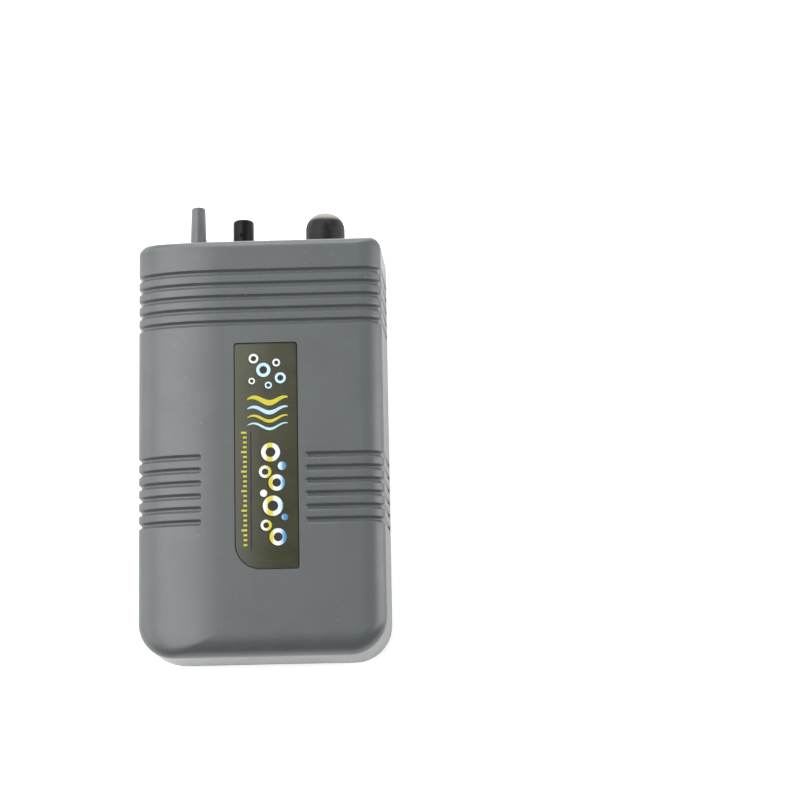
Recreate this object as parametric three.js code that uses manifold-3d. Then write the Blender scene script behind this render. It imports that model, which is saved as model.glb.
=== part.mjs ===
// Battery air pump, lying on its back. Millimetres. +X right, +Y to the air nozzle, +Z out of the front.
// The origin is under the middle of the case, on the plane that the back rests on.
import * as THREE from 'three';
import * as BufferGeometryUtils from 'three/addons/utils/BufferGeometryUtils.js';
import Module from 'manifold-3d';

const wasm = await Module();
wasm.setup();

// ---- driving dimensions ----------------------------------------------------------------------
const CASE = { halfWidth: 38.7, top: 58.3, foot: -72, parting: 11, crest: 40, draft: 0.8, wall: 2 };
const PLAN_RADIUS = { top: 4, foot: 12 };
const ROLL = {
  right: { width: 8, drop: 4 },
  top: { width: 3.5, drop: 3 },
  left: { width: 27, drop: 9 },
  foot: { width: 8, drop: 6 },
};
const GROOVE = { width: 1.9, depth: 0.9, pitch: 4 };
const TOP_GROOVES = { count: 5, first: 47 };
const SIDE_GROOVES = { count: 6, first: -10.7, leftEnd: -17.5, rightEnd: 13.8 };
const LABEL = { left: -7.7, right: 11.9, low: -45.4, high: 24.6, radius: 1, bigRadius: 8, pocket: 1, thick: 0.6 };
const CLEAR = 0.3;
const DOOR = { halfWidth: 30, end: -4.5, thick: 2.7, lip: 8, tongue: 2, tongueLow: 1.5 };
const CELL = { radius: 16.9, x: 17.1, z: 20, body: 60, nub: 1.5, nubRadius: 4.8, leftLow: -63.3, rightLow: -66.1 };
const CONTACT = { low: -1.7, thick: 0.5, dimple: 1.2, footLow: -69.3 };
const DIVIDER = { low: -0.9, high: 1.1 };
const SCREW_POST = { x: 33.5, top: 53, middle: 1, radius: 4.25, boss: 3.5, seat: 8.7 };
const AXIS_Z = 22;
const HEAD = { x: -20.5, half: 11, low: 44, high: 54.5, right: -2, screwOffset: 9 };
const NOZZLE = { base: 2.65, tip: 2.25, end: 72.7, bore: 1.2 };
const KNOB = { x: -6.1, radius: 3.3, low: 58.5, high: 68.2, stem: 1.5 };
const BUTTON = { x: 20, radius: 6.2, flange: 7.3, low: 52.8, shoulder: 64.2, high: 69.8, bore: 4.5, roof: 62 };
const SWITCH = { half: 5.5, low: 38, high: 50 };
const MOTOR = { y: 18.5, radius: 10, flat: 7.5, low: -7, high: 18, cap: 20.5 };
const CRANK = { low: -17.5, high: -14.5, radius: 4, throw: 1.5, pin: 1.2, pinEnd: -23.3 };
const CHASSIS = { left: -28, right: 28, low: 2.8, high: 54, bottom: 4.5, top: 6.5, bracketLow: 34.9, bracketHigh: 37.9 };
const WIRE_RADIUS = 0.7;

// ---- materials -------------------------------------------------------------------------------
const finish = (color, roughness, metalness) => ({ color, roughness, metalness });
const GREY_PLASTIC = finish(0x747a7a, 0.45, 0);
const BLACK_PLASTIC = finish(0x161616, 0.4, 0);
const BLACK_RUBBER = finish(0x262624, 0.6, 0);
const OLIVE_LABEL = finish(0x514f49, 0.35, 0);
const WHITE_PLASTIC = finish(0xd6d4cc, 0.5, 0);
const STEEL = finish(0xb9bcc0, 0.3, 1);
const BRASS = finish(0xc09a4b, 0.35, 1);
const RED_COVERING = finish(0xa82a22, 0.5, 0);
const DARK_COVERING = finish(0x1c1c1e, 0.5, 0);
const CELL_JACKET = finish(0x2f5d7c, 0.35, 0.3);
const FOAM = finish(0x3b3f42, 0.95, 0);

const group = new THREE.Group();

// ---- solids and booleans ---------------------------------------------------------------------
function solid(geometry) {
  const plain = geometry.clone();
  plain.deleteAttribute('normal');
  plain.deleteAttribute('uv');
  const merged = BufferGeometryUtils.mergeVertices(plain, 1e-4);
  const triVerts = Uint32Array.from(merged.index.array);
  const vertProperties = Float32Array.from(merged.attributes.position.array);
  return new wasm.Manifold(new wasm.Mesh({ numProp: 3, vertProperties, triVerts }));
}

function join(first, ...others) {
  return others.reduce((whole, piece) => whole.add(piece), first);
}

function cut(first, ...others) {
  return others.reduce((whole, piece) => whole.subtract(piece), first);
}

// Fills any sealed pocket that is left where ribs meet the rolled corners.
function withoutPockets(whole) {
  return whole.decompose().reduce((largest, body) => (body.volume() > largest.volume() ? body : largest));
}

function geometryOf(manifold) {
  const mesh = manifold.getMesh();
  const geometry = new THREE.BufferGeometry();
  geometry.setAttribute('position', new THREE.BufferAttribute(Float32Array.from(mesh.vertProperties), 3));
  geometry.setIndex(Array.from(mesh.triVerts));
  const faceted = geometry.toNonIndexed();
  faceted.computeVertexNormals();
  return faceted;
}

function node(name, shape, look) {
  const geometry = shape.isBufferGeometry ? shape : geometryOf(shape);
  const mesh = new THREE.Mesh(geometry, new THREE.MeshStandardMaterial(look));
  mesh.name = name;
  group.add(mesh);
  return mesh;
}

function block(x0, x1, y0, y1, z0, z1) {
  const geometry = new THREE.BoxGeometry(x1 - x0, y1 - y0, z1 - z0);
  geometry.translate((x0 + x1) / 2, (y0 + y1) / 2, (z0 + z1) / 2);
  return solid(geometry);
}

// A closed turned solid about an axis; the profile is a list of [radius, distance along the axis].
function turned(axis, centre, profile, segments = 24) {
  const points = profile.map(([radius, along]) => new THREE.Vector2(radius, along));
  const geometry = new THREE.LatheGeometry(points, segments);
  if (axis === 'x') geometry.rotateZ(-Math.PI / 2);
  if (axis === 'z') geometry.rotateX(Math.PI / 2);
  geometry.translate(centre.x ?? 0, centre.y ?? 0, centre.z ?? 0);
  return solid(geometry);
}

function rod(axis, centre, low, high, radius, segments = 24) {
  return turned(axis, centre, [[0, low], [radius, low], [radius, high], [0, high]], segments);
}

function tube(axis, centre, low, high, outer, inner, segments = 24) {
  return turned(axis, centre, [[inner, low], [outer, low], [outer, high], [inner, high], [inner, low]], segments);
}

// A round bar swept along a curve.
function sweep(curve, steps, radius, sides) {
  const shape = new THREE.Shape();
  shape.absarc(0, 0, radius, 0, 2 * Math.PI, false);
  return new THREE.ExtrudeGeometry(shape, { steps, curveSegments: sides, extrudePath: curve, bevelEnabled: false });
}

// ---- the case form ---------------------------------------------------------------------------
// Corners in order round the outline, each with the side it leaves and the side it meets.
const CORNERS = [
  { sx: 1, sy: 1, radius: PLAN_RADIUS.top, from: 'right', to: 'top', steps: 4, start: 0 },
  { sx: -1, sy: 1, radius: PLAN_RADIUS.top, from: 'top', to: 'left', steps: 4, start: 90 },
  { sx: -1, sy: -1, radius: PLAN_RADIUS.foot, from: 'left', to: 'foot', steps: 7, start: 180 },
  { sx: 1, sy: -1, radius: PLAN_RADIUS.foot, from: 'foot', to: 'right', steps: 7, start: 270 },
];

// The flat middle of the front, where the rolls of the four sides end.
const FLAT = {
  left: ROLL.left.width - CASE.halfWidth,
  right: CASE.halfWidth - ROLL.right.width,
  low: CASE.foot + ROLL.foot.width,
  high: CASE.top - ROLL.top.width,
};

// Steps along the top edge where it follows the left roll down.
const TOP_EDGE_STEPS = 4;

// How far the left roll has fallen at a place along the top edge, whose outline reaches edgeX.
function leftFall(x, edgeX) {
  const across = THREE.MathUtils.clamp((FLAT.left - x) / (FLAT.left + edgeX), 0, 1);
  return ROLL.left.drop * (1 - Math.sqrt(1 - across * across));
}

// Points of the plan outline moved inwards by inset, each with its roll drop and the nearest flat point.
function outline(inset) {
  const points = [];
  const edgeX = CASE.halfWidth - inset;
  const add = (x, y, angle, drop) => points.push({
    x,
    y,
    nx: Math.cos(angle),
    ny: Math.sin(angle),
    innerX: THREE.MathUtils.clamp(x, FLAT.left, FLAT.right),
    innerY: THREE.MathUtils.clamp(y, FLAT.low, FLAT.high),
    drop,
  });
  for (const corner of CORNERS) {
    const radius = Math.max(corner.radius - inset, 0.8);
    const edgeY = corner.sy > 0 ? CASE.top - inset : -CASE.foot - inset;
    const falls = corner.from === 'top';
    for (let step = 0; falls && step < TOP_EDGE_STEPS; step += 1) {
      const x = THREE.MathUtils.lerp(FLAT.left, radius - edgeX, step / TOP_EDGE_STEPS);
      add(x, edgeY, Math.PI / 2, ROLL.top.drop + leftFall(x, edgeX));
    }
    for (let step = 0; step <= corner.steps; step += 1) {
      const part = step / corner.steps;
      const angle = THREE.MathUtils.degToRad(corner.start + 90 * part);
      const mix = THREE.MathUtils.smoothstep(part, 0, 1);
      const x = corner.sx * (edgeX - radius) + radius * Math.cos(angle);
      const y = corner.sy * (edgeY - radius) + radius * Math.sin(angle);
      const meets = falls ? leftFall(x, edgeX) : ROLL[corner.to].drop * mix;
      add(x, y, angle, ROLL[corner.from].drop * (1 - mix) + meets);
    }
  }
  return points;
}

// Skins a stack of rings that hold the same number of points, and closes both ends.
function loft(rings) {
  const count = rings[0].length;
  const positions = rings.flat();
  const triangles = [];
  for (let ring = 0; ring + 1 < rings.length; ring += 1) {
    for (let i = 0; i < count; i += 1) {
      const a = ring * count + i;
      const b = ring * count + (i + 1) % count;
      triangles.push([a, b, b + count], [a, b + count, a + count]);
    }
  }
  for (const [ring, flip] of [[0, true], [rings.length - 1, false]]) {
    const centre = new THREE.Vector3();
    rings[ring].forEach((point) => centre.addScaledVector(point, 1 / count));
    positions.push(centre);
    for (let i = 0; i < count; i += 1) {
      const a = ring * count + i;
      const b = ring * count + (i + 1) % count;
      triangles.push(flip ? [positions.length - 1, b, a] : [positions.length - 1, a, b]);
    }
  }
  const same = (p, q) => positions[p].distanceTo(positions[q]) < 1e-4;
  const kept = triangles.filter(([p, q, r]) => !same(p, q) && !same(q, r) && !same(r, p));
  const geometry = new THREE.BufferGeometry().setFromPoints(positions);
  geometry.setIndex(kept.flat());
  return solid(geometry);
}

// The front half of the case, moved inwards by inset, from a height up to the rolled front.
function frontForm(inset, from) {
  const plan = outline(inset);
  const crest = CASE.crest - inset;
  const wallTop = (point) => crest - Math.max(point.drop - inset, 0.6);
  const drafted = (point, z) => {
    const draft = CASE.draft * (z - CASE.parting) / (CASE.crest - CASE.parting);
    return new THREE.Vector3(point.x - draft * point.nx, point.y - draft * point.ny, z);
  };
  const rings = [plan.map((point) => drafted(point, from)), plan.map((point) => drafted(point, wallTop(point)))];
  const steps = 6;
  for (let step = 1; step <= steps; step += 1) {
    const angle = (step / steps) * Math.PI / 2;
    rings.push(plan.map((point) => {
      const edge = drafted(point, wallTop(point));
      const inward = 1 - Math.cos(angle);
      return new THREE.Vector3(
        THREE.MathUtils.lerp(edge.x, point.innerX, inward),
        THREE.MathUtils.lerp(edge.y, point.innerY, inward),
        crest - (crest - edge.z) * (1 - Math.sin(angle)),
      );
    }));
  }
  return loft(rings);
}

// The rear half, as rings of [height, inset] from the back up.
function rearForm(rings) {
  return loft(rings.map(([z, inset]) => outline(inset).map((point) => new THREE.Vector3(point.x, point.y, z))));
}

const REAR_OUTSIDE = [[0, 2.4], [0.3, 1.5], [1, 0.8], [2.4, 0.35], [CASE.parting, 0]];
const REAR_INSIDE = [[CASE.wall, 3.2], [4, CASE.wall + 0.3], [CASE.parting + 1, CASE.wall]];

// ---- front cover -----------------------------------------------------------------------------
function grooveBar(y, x0, x1) {
  const radius = GROOVE.width / 2;
  const shape = new THREE.Shape();
  shape.absarc(x1, y, radius, -Math.PI / 2, Math.PI / 2, false);
  shape.absarc(x0, y, radius, Math.PI / 2, 1.5 * Math.PI, false);
  const bar = new THREE.ExtrudeGeometry(shape, { depth: CASE.crest, curveSegments: 3, bevelEnabled: false });
  bar.translate(0, 0, CASE.parting - 1);
  return solid(bar);
}

function grooveBars() {
  const beyond = CASE.halfWidth + 5;
  const radius = GROOVE.width / 2;
  const bars = [];
  for (let i = 0; i < TOP_GROOVES.count; i += 1) {
    bars.push(grooveBar(TOP_GROOVES.first - i * GROOVE.pitch, -beyond, beyond));
  }
  for (let i = 0; i < SIDE_GROOVES.count; i += 1) {
    const y = SIDE_GROOVES.first - i * GROOVE.pitch;
    bars.push(grooveBar(y, -beyond, SIDE_GROOVES.leftEnd - radius));
    bars.push(grooveBar(y, SIDE_GROOVES.rightEnd + radius, beyond));
  }
  return join(...bars);
}

function labelOutline(grow) {
  const left = LABEL.left - grow;
  const right = LABEL.right + grow;
  const low = LABEL.low - grow;
  const high = LABEL.high + grow;
  const small = LABEL.radius + grow;
  const big = LABEL.bigRadius + grow;
  const shape = new THREE.Shape();
  shape.absarc(right - small, low + small, small, -Math.PI / 2, 0, false);
  shape.absarc(right - small, high - small, small, 0, Math.PI / 2, false);
  shape.absarc(left + small, high - small, small, Math.PI / 2, Math.PI, false);
  shape.absarc(left + big, low + big, big, Math.PI, 1.5 * Math.PI, false);
  return shape;
}

function labelSolid(grow, low, thick) {
  const settings = { depth: thick, curveSegments: 6, bevelEnabled: false };
  const geometry = new THREE.ExtrudeGeometry(labelOutline(grow), settings);
  geometry.translate(0, 0, low);
  return solid(geometry);
}

const screwPlaces = [
  { x: -SCREW_POST.x, y: SCREW_POST.top },
  { x: SCREW_POST.x, y: SCREW_POST.top },
  { x: -SCREW_POST.x, y: SCREW_POST.middle },
  { x: SCREW_POST.x, y: SCREW_POST.middle },
];

function frontCover() {
  const shell = cut(frontForm(0, CASE.parting), frontForm(CASE.wall, CASE.parting - 1));
  const grooves = grooveBars().subtract(frontForm(GROOVE.depth, CASE.parting - 2));
  const inside = frontForm(CASE.wall / 4, CASE.parting);
  const bosses = screwPlaces.map((place) => rod('z', place, CASE.parting, CASE.crest, SCREW_POST.boss, 16));
  const corners = [-37, 33].map((x) => block(x, x + 4, 53, CASE.top - 1, CASE.parting, CASE.crest));
  const divider = block(-37, 37, DIVIDER.low, DIVIDER.high, CASE.parting, CASE.crest);
  const skirt = block(-26, 26, DIVIDER.low, DIVIDER.high, 3, CASE.parting + 1);
  const ribs = join(divider, ...corners, ...bosses).intersect(inside);
  const pilots = screwPlaces.map((place) => rod('z', place, CASE.parting - 1, CASE.parting + 12, 1.3, 12));
  const holes = [
    rod('y', { x: HEAD.x, z: AXIS_Z }, CASE.top - 4, CASE.top + 2, NOZZLE.base + CLEAR),
    rod('y', { x: KNOB.x, z: AXIS_Z }, CASE.top - 4, CASE.top + 2, KNOB.stem + CLEAR),
    rod('y', { x: BUTTON.x, z: AXIS_Z }, CASE.top - 4, CASE.top + 2, BUTTON.radius + CLEAR, 32),
  ];
  const tails = [-1, 1].map((side) => block(side * 14 - 2, side * 14 + 2, -3, 3, 29.5, 33.5));
  const pocket = labelSolid(0, CASE.crest - LABEL.pocket, 3);
  return withoutPockets(cut(join(shell, ribs, skirt), grooves, pocket, ...pilots, ...holes, ...tails));
}

// ---- rear cover and battery door -------------------------------------------------------------
const PADS = [{ x: -25, y: 8 }, { x: 25, y: 8 }, { x: -25, y: 51 }, { x: 25, y: 51 }];
const SLOTS = { count: 5, first: -10, pitch: 5, low: 26, high: 42, width: 1.8 };

function rearCover() {
  const outside = rearForm(REAR_OUTSIDE);
  const shell = cut(outside, rearForm(REAR_INSIDE));
  const rimHigh = CASE.parting + 2;
  const rimOuter = CASE.wall + CLEAR + 0.1;
  const rim = cut(
    rearForm([[CASE.parting - 4, rimOuter], [rimHigh, rimOuter]]),
    rearForm([[CASE.parting - 5, rimOuter + 1], [rimHigh + 1, rimOuter + 1]]),
  );
  const tie = cut(
    rearForm([[CASE.parting - 4, 1], [CASE.parting - 2, 1]]),
    rearForm([[CASE.parting - 5, rimOuter + 1], [CASE.parting - 1, rimOuter + 1]]),
  );
  const bossRoom = screwPlaces.map((place) =>
    rod('z', place, CASE.parting - CLEAR, rimHigh + 1, SCREW_POST.boss + CLEAR, 16));
  const dividerRoom = block(-38, 38, DIVIDER.low - CLEAR, DIVIDER.high + CLEAR, CASE.parting - CLEAR, rimHigh + 1);
  const posts = screwPlaces.map((place) => rod('z', place, 0, CASE.parting - CLEAR, SCREW_POST.radius, 20));
  const pads = PADS.map((pad) => rod('z', pad, 1, CHASSIS.bottom - CLEAR, 3, 16));
  const rails = [-1, 1].map((side) => {
    const low = Math.min(side * 31, side * 37.5);
    return block(low, low + 6.5, -64, DOOR.end - CLEAR, DOOR.thick + CLEAR, DOOR.thick + CLEAR + 1.2);
  });
  const inward = rearForm([[0.5, 1.2], [CASE.parting, 1.2]]);
  const fitted = join(...posts, ...pads, ...rails).intersect(inward);
  const wells = screwPlaces.flatMap((place) => [
    rod('z', place, -1, SCREW_POST.seat, 3.1, 20),
    rod('z', place, -1, CASE.parting + 1, 1.5, 12),
  ]);
  const padHoles = PADS.map((pad) => rod('z', pad, 1.2, CHASSIS.bottom, 1.3, 12));
  const half = DOOR.halfWidth + CLEAR;
  const doorway = [
    block(-half, half, -80, DOOR.end + CLEAR, -1, DOOR.lip + CLEAR),
    block(-half - DOOR.tongue, half + DOOR.tongue, -80, DOOR.end + CLEAR, DOOR.tongueLow - CLEAR, DOOR.thick + CLEAR),
  ];
  const slots = [];
  for (let i = 0; i < SLOTS.count; i += 1) {
    const x = SLOTS.first + i * SLOTS.pitch;
    slots.push(block(x - SLOTS.width / 2, x + SLOTS.width / 2, SLOTS.low, SLOTS.high, -1, CASE.wall + 1));
  }
  const lip = cut(join(rim, tie), ...bossRoom, dividerRoom);
  const collarRoom = block(-half - 3, half + 3, -80, -64, -1, DOOR.lip + CLEAR);
  return cut(join(shell, cut(lip, collarRoom), fitted), ...wells, ...padHoles, ...doorway, ...slots);
}

function batteryDoor() {
  const outside = rearForm(REAR_OUTSIDE);
  const plate = block(-DOOR.halfWidth, DOOR.halfWidth, -80, DOOR.end, -1, DOOR.thick);
  const endWall = block(-DOOR.halfWidth, DOOR.halfWidth, -80, -60, -1, DOOR.lip);
  const inside = rearForm([[DOOR.thick, 2.5], [CASE.parting, CASE.wall]]);
  const body = join(plate, cut(endWall, inside)).intersect(outside);
  const reach = DOOR.halfWidth + DOOR.tongue;
  const tongue = block(-reach, reach, -63, DOOR.end, DOOR.tongueLow, DOOR.thick);
  const grips = [];
  for (let i = 0; i < 5; i += 1) {
    const y = -62 + i * 3.2;
    grips.push(block(-9, 9, y, y + 1.4, -1, 0.7));
  }
  return cut(join(body, tongue), ...grips);
}

// ---- screws ----------------------------------------------------------------------------------
// A pan-head screw with a slot; along is the end of the shank, seat is where the head begins.
function screw(axis, centre, tip, seat, shank, head, thick) {
  const outward = Math.sign(seat - tip);
  const top = seat + outward * thick;
  const crown = top - outward * thick * 0.35;
  const profile = [[0, tip], [shank, tip], [shank, seat], [head, seat], [head, crown], [head * 0.75, top], [0, top]];
  const ordered = outward > 0 ? profile : profile.reverse();
  const body = turned(axis, centre, ordered, 12);
  const low = Math.min(top - outward * 0.6, top + outward);
  const high = Math.max(top - outward * 0.6, top + outward);
  const c = { x: 0, y: 0, z: 0, ...centre };
  const slot = {
    z: () => block(c.x - head * 1.2, c.x + head * 1.2, c.y - 0.3, c.y + 0.3, low, high),
    y: () => block(c.x - head * 1.2, c.x + head * 1.2, low, high, c.z - 0.3, c.z + 0.3),
  }[axis]();
  return cut(body, slot);
}

// ---- battery bay -----------------------------------------------------------------------------
function cell(x, low, nubUp) {
  const { radius, body, nub, nubRadius } = CELL;
  const edge = 1.2;
  const profile = [
    [0, 0], [radius - edge, 0], [radius, edge], [radius, body - edge], [radius - edge, body],
    [nubRadius, body], [nubRadius, body + nub], [0, body + nub],
  ];
  const placed = nubUp
    ? profile.map(([r, along]) => [r, low + along])
    : profile.map(([r, along]) => [r, low + body - along]).reverse();
  return turned('y', { x, z: CELL.z }, placed, 32);
}

class ConeSpring extends THREE.Curve {
  constructor(centre, low, high, wide, narrow, turns) {
    super();
    Object.assign(this, { centre, low, high, wide, narrow, turns });
  }

  getPoint(t, target = new THREE.Vector3()) {
    const radius = THREE.MathUtils.lerp(this.wide, this.narrow, t);
    const angle = 2 * Math.PI * this.turns * t;
    return target.set(
      this.centre.x + radius * Math.cos(angle),
      THREE.MathUtils.lerp(this.low, this.high, t),
      this.centre.z + radius * Math.sin(angle),
    );
  }
}

function contactSpring(x, low, high, wire) {
  const curve = new ConeSpring({ x, z: CELL.z }, low + wire, high - wire, 6, 3.6, 3);
  return sweep(curve, 39, wire, 3);
}

function topContact(side) {
  const x = side * CELL.x;
  const { low, thick } = CONTACT;
  const plate = block(x - 8, x + 8, low, low + thick, 12, 33);
  const tail = block(side * 14 - 1.5, side * 14 + 1.5, low, 3.2, 31, 31.6);
  return join(plate, tail);
}

function linkPlate() {
  const { footLow, thick, dimple } = CONTACT;
  const plate = block(-26, 26, footLow, footLow + thick, 14, 28);
  const boss = rod('y', { x: CELL.x, z: CELL.z }, footLow + thick - 0.1, footLow + thick + dimple - CLEAR, 4, 16);
  return join(plate, boss);
}

// ---- chassis, motor and drive ----------------------------------------------------------------
function chassis() {
  const { left, right, low, high, bottom, top, bracketLow, bracketHigh } = CHASSIS;
  const plate = block(left, right, low, high, bottom, top);
  const x0 = HEAD.x - HEAD.half;
  const x1 = HEAD.x + HEAD.half;
  const bracket = block(x0, x1, bracketLow, bracketHigh, bottom, AXIS_Z + HEAD.half);
  const gussets = [x0, x1 - 2].map((x) => block(x, x + 2, bracketLow - 5, bracketLow + 0.1, bottom, 10));
  const cradles = [MOTOR.low + 1, MOTOR.high - 4].map((x) =>
    block(x, x + 3, MOTOR.y - 9, MOTOR.y + 9, top - 0.1, AXIS_Z - MOTOR.flat - CLEAR));
  const posts = strapFeet().map((y) => block(2, 8, y - 2.2, y + 2.2, top - 0.1, AXIS_Z - 1.8));
  const shelf = [BUTTON.x - SWITCH.half - 1.5, BUTTON.x + SWITCH.half - 0.5].map((x) =>
    block(x, x + 2, SWITCH.low + 1, SWITCH.high - 1, top - 0.1, AXIS_Z - SWITCH.half - CLEAR));
  const diaphragmHole = rod('y', { x: HEAD.x, z: AXIS_Z }, bracketLow - 1, bracketHigh + 1, 7.5);
  const headHoles = headScrewPlaces().map((place) => rod('y', place, bracketLow - 1, bracketHigh + 1, 1.4, 12));
  const padHoles = PADS.slice(0, 2).map((pad) => rod('z', pad, bottom - 1, top + 1, 1.4, 12));
  const strapHoles = strapFeet().map((y) => rod('z', { x: 5, y }, top + 2, AXIS_Z, 1.1, 12));
  const whole = join(plate, bracket, ...gussets, ...cradles, ...posts, ...shelf);
  return cut(whole, diaphragmHole, ...headHoles, ...padHoles, ...strapHoles);
}

function strapFeet() {
  return [MOTOR.y - MOTOR.radius - 3.4, MOTOR.y + MOTOR.radius + 3.4];
}

function motorStrap() {
  const inner = MOTOR.radius + CLEAR;
  const outer = inner + 1.2;
  const top = AXIS_Z + MOTOR.flat + CLEAR;
  const foot = AXIS_Z - 1.5;
  const bridge = cut(
    block(2, 8, MOTOR.y - outer, MOTOR.y + outer, foot, top + 1.2),
    block(1, 9, MOTOR.y - inner, MOTOR.y + inner, foot - 1, top),
  );
  const feet = strapFeet().map((y) => {
    const reach = Math.sign(y - MOTOR.y);
    const inside = MOTOR.y + reach * (inner + 0.1);
    return block(2, 8, Math.min(inside, y + reach * 2.1), Math.max(inside, y + reach * 2.1), foot, foot + 1.2);
  });
  const holes = strapFeet().map((y) => rod('z', { x: 5, y }, foot - 1, foot + 3, 1.3, 12));
  return cut(join(bridge, ...feet), ...holes);
}

function motorCan() {
  const { y, radius, flat, low, high } = MOTOR;
  const centre = { y, z: AXIS_Z };
  const round = turned('x', centre, [[0, low], [radius - 0.8, low], [radius, low + 0.8], [radius, high], [0, high]], 32);
  const body = round.intersect(block(low - 1, high + 1, y - radius - 1, y + radius + 1, AXIS_Z - flat, AXIS_Z + flat));
  const collar = rod('x', centre, low - 1.8, low + 0.5, 3, 20);
  const bearing = rod('x', centre, low - 3, low + 6, 1 + CLEAR, 16);
  return cut(join(body, collar), bearing);
}

function motorCap() {
  const { y, radius, flat, high, cap } = MOTOR;
  const centre = { y, z: AXIS_Z };
  const round = rod('x', centre, high + CLEAR, cap, radius - 0.6, 32);
  const slab = block(high, cap, y - radius, y + radius, AXIS_Z - flat + 0.4, AXIS_Z + flat - 0.4);
  return join(round.intersect(slab), rod('x', centre, cap - 0.1, cap + 1.2, 3, 20));
}

function crank() {
  const { low, high, radius, throw: offset, pin, pinEnd } = CRANK;
  const disc = rod('x', { y: MOTOR.y, z: AXIS_Z }, low, high, radius, 28);
  const crankPin = rod('x', { y: MOTOR.y + offset, z: AXIS_Z }, pinEnd, low + 0.1, pin, 16);
  const shaftHole = rod('x', { y: MOTOR.y, z: AXIS_Z }, low + 1, high + 1, 1 + CLEAR, 16);
  return cut(join(disc, crankPin), shaftHole);
}

function connectingRod() {
  const y = MOTOR.y + CRANK.throw;
  const eye = rod('x', { y, z: AXIS_Z }, -22.5, -18.5, 3.6, 24);
  const stem = block(-21.8, -19.2, y + 2, 34, AXIS_Z - 1.4, AXIS_Z + 1.4);
  const foot = rod('x', { y: 32.6, z: AXIS_Z }, -22.1, -18.9, 2.1, 20);
  const bore = rod('x', { y, z: AXIS_Z }, -24, -17, CRANK.pin + CLEAR, 16);
  return cut(join(eye, stem, foot), bore);
}

// ---- pump head -------------------------------------------------------------------------------
function headScrewPlaces() {
  const places = [];
  for (const dx of [-1, 1]) {
    for (const dz of [-1, 1]) {
      places.push({ x: HEAD.x + dx * HEAD.screwOffset, z: AXIS_Z + dz * HEAD.screwOffset });
    }
  }
  return places;
}

function diaphragm() {
  const centre = { x: HEAD.x, z: AXIS_Z };
  const profile = [
    [0, 36.4], [3.2, 36.4], [3.2, 38.2], [4.6, 38.5], [6.2, 37.9], [7.2, 38.2], [10.6, 38.2], [10.6, 39.5], [7, 39.5],
    [6.2, 39.1], [4.4, 39.5], [0, 39.5],
  ];
  const holes = headScrewPlaces().map((place) => rod('y', place, 38, 40, 1.4, 12));
  return cut(turned('y', centre, profile, 24), ...holes);
}

function valvePlate() {
  const centre = { x: HEAD.x, z: AXIS_Z };
  const { half, low } = HEAD;
  const plate = block(HEAD.x - half, HEAD.x + half, 39.8, low - CLEAR, AXIS_Z - half, AXIS_Z + half);
  const chamber = rod('y', centre, 39, 41.4, 8, 32);
  const ports = [-4, 4].map((dx) => rod('y', { x: HEAD.x + dx, z: AXIS_Z }, 41, low, 1.3, 12));
  const holes = headScrewPlaces().map((place) => rod('y', place, 39, low + 1, 1.4, 12));
  return cut(plate, chamber, ...ports, ...holes);
}

function pumpHead() {
  const { x, half, low, high, right } = HEAD;
  const centre = { x, z: AXIS_Z };
  const lower = block(x - half, right, low, 49, AXIS_Z - half, AXIS_Z + half);
  const upper = block(x - 8.5, right, 48.9, high, AXIS_Z - 8, AXIS_Z + 8);
  const nozzle = turned('y', centre, [
    [0, high - 0.1], [NOZZLE.base, high - 0.1], [NOZZLE.base, CASE.top + 1],
    [NOZZLE.tip, NOZZLE.end - 0.6], [NOZZLE.tip - 0.4, NOZZLE.end], [0, NOZZLE.end],
  ], 28);
  const outlet = block(x - 7.5, x - 0.6, low - 1, 47.5, AXIS_Z - 4, AXIS_Z + 4);
  const inlet = block(x + 0.6, x + 7.5, low - 1, 47.5, AXIS_Z - 4, AXIS_Z + 4);
  const inletPort = block(x + 2, x + 5, low + 1, 46.5, AXIS_Z - half - 1, AXIS_Z);
  const bore = rod('y', centre, 47, NOZZLE.end + 1, NOZZLE.bore, 16);
  const outletLink = block(x - 2.5, x + 0.5, 46.6, 49.4, AXIS_Z - 1, AXIS_Z + 1);
  const stemBore = rod('y', { x: KNOB.x, z: AXIS_Z }, 50.6, high + 1, KNOB.stem + CLEAR, 16);
  const bleed = block(x - 0.5, KNOB.x + 0.8, 51, 52.2, AXIS_Z - 0.8, AXIS_Z + 0.8);
  const holes = headScrewPlaces().map((place) => rod('y', place, low - 1, 48, 1.2, 12));
  return cut(join(lower, upper, nozzle), outlet, inlet, inletPort, bore, outletLink, stemBore, bleed, ...holes);
}

function flap(x, y) {
  return turned('y', { x, z: AXIS_Z }, [[0, y], [2.6, y], [2.6, y + 0.5], [0, y + 0.5]], 20);
}

// ---- knob, button and switch -----------------------------------------------------------------
function knob() {
  const { radius, low, high, stem } = KNOB;
  const centre = { x: KNOB.x, z: AXIS_Z };
  const body = turned('y', centre, [
    [0, low], [radius - 0.2, low], [radius, low + 0.3], [radius, high - 1.1],
    [radius - 0.4, high - 0.5], [radius - 1.3, high - 0.12], [0, high],
  ], 32);
  const bore = rod('y', centre, low - 1, high - 3, stem + CLEAR, 16);
  const mark = rod('z', { x: KNOB.x, y: high - 5 }, AXIS_Z + radius - 0.6, AXIS_Z + radius + 1, 0.6, 10);
  return cut(body, bore, mark);
}

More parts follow.
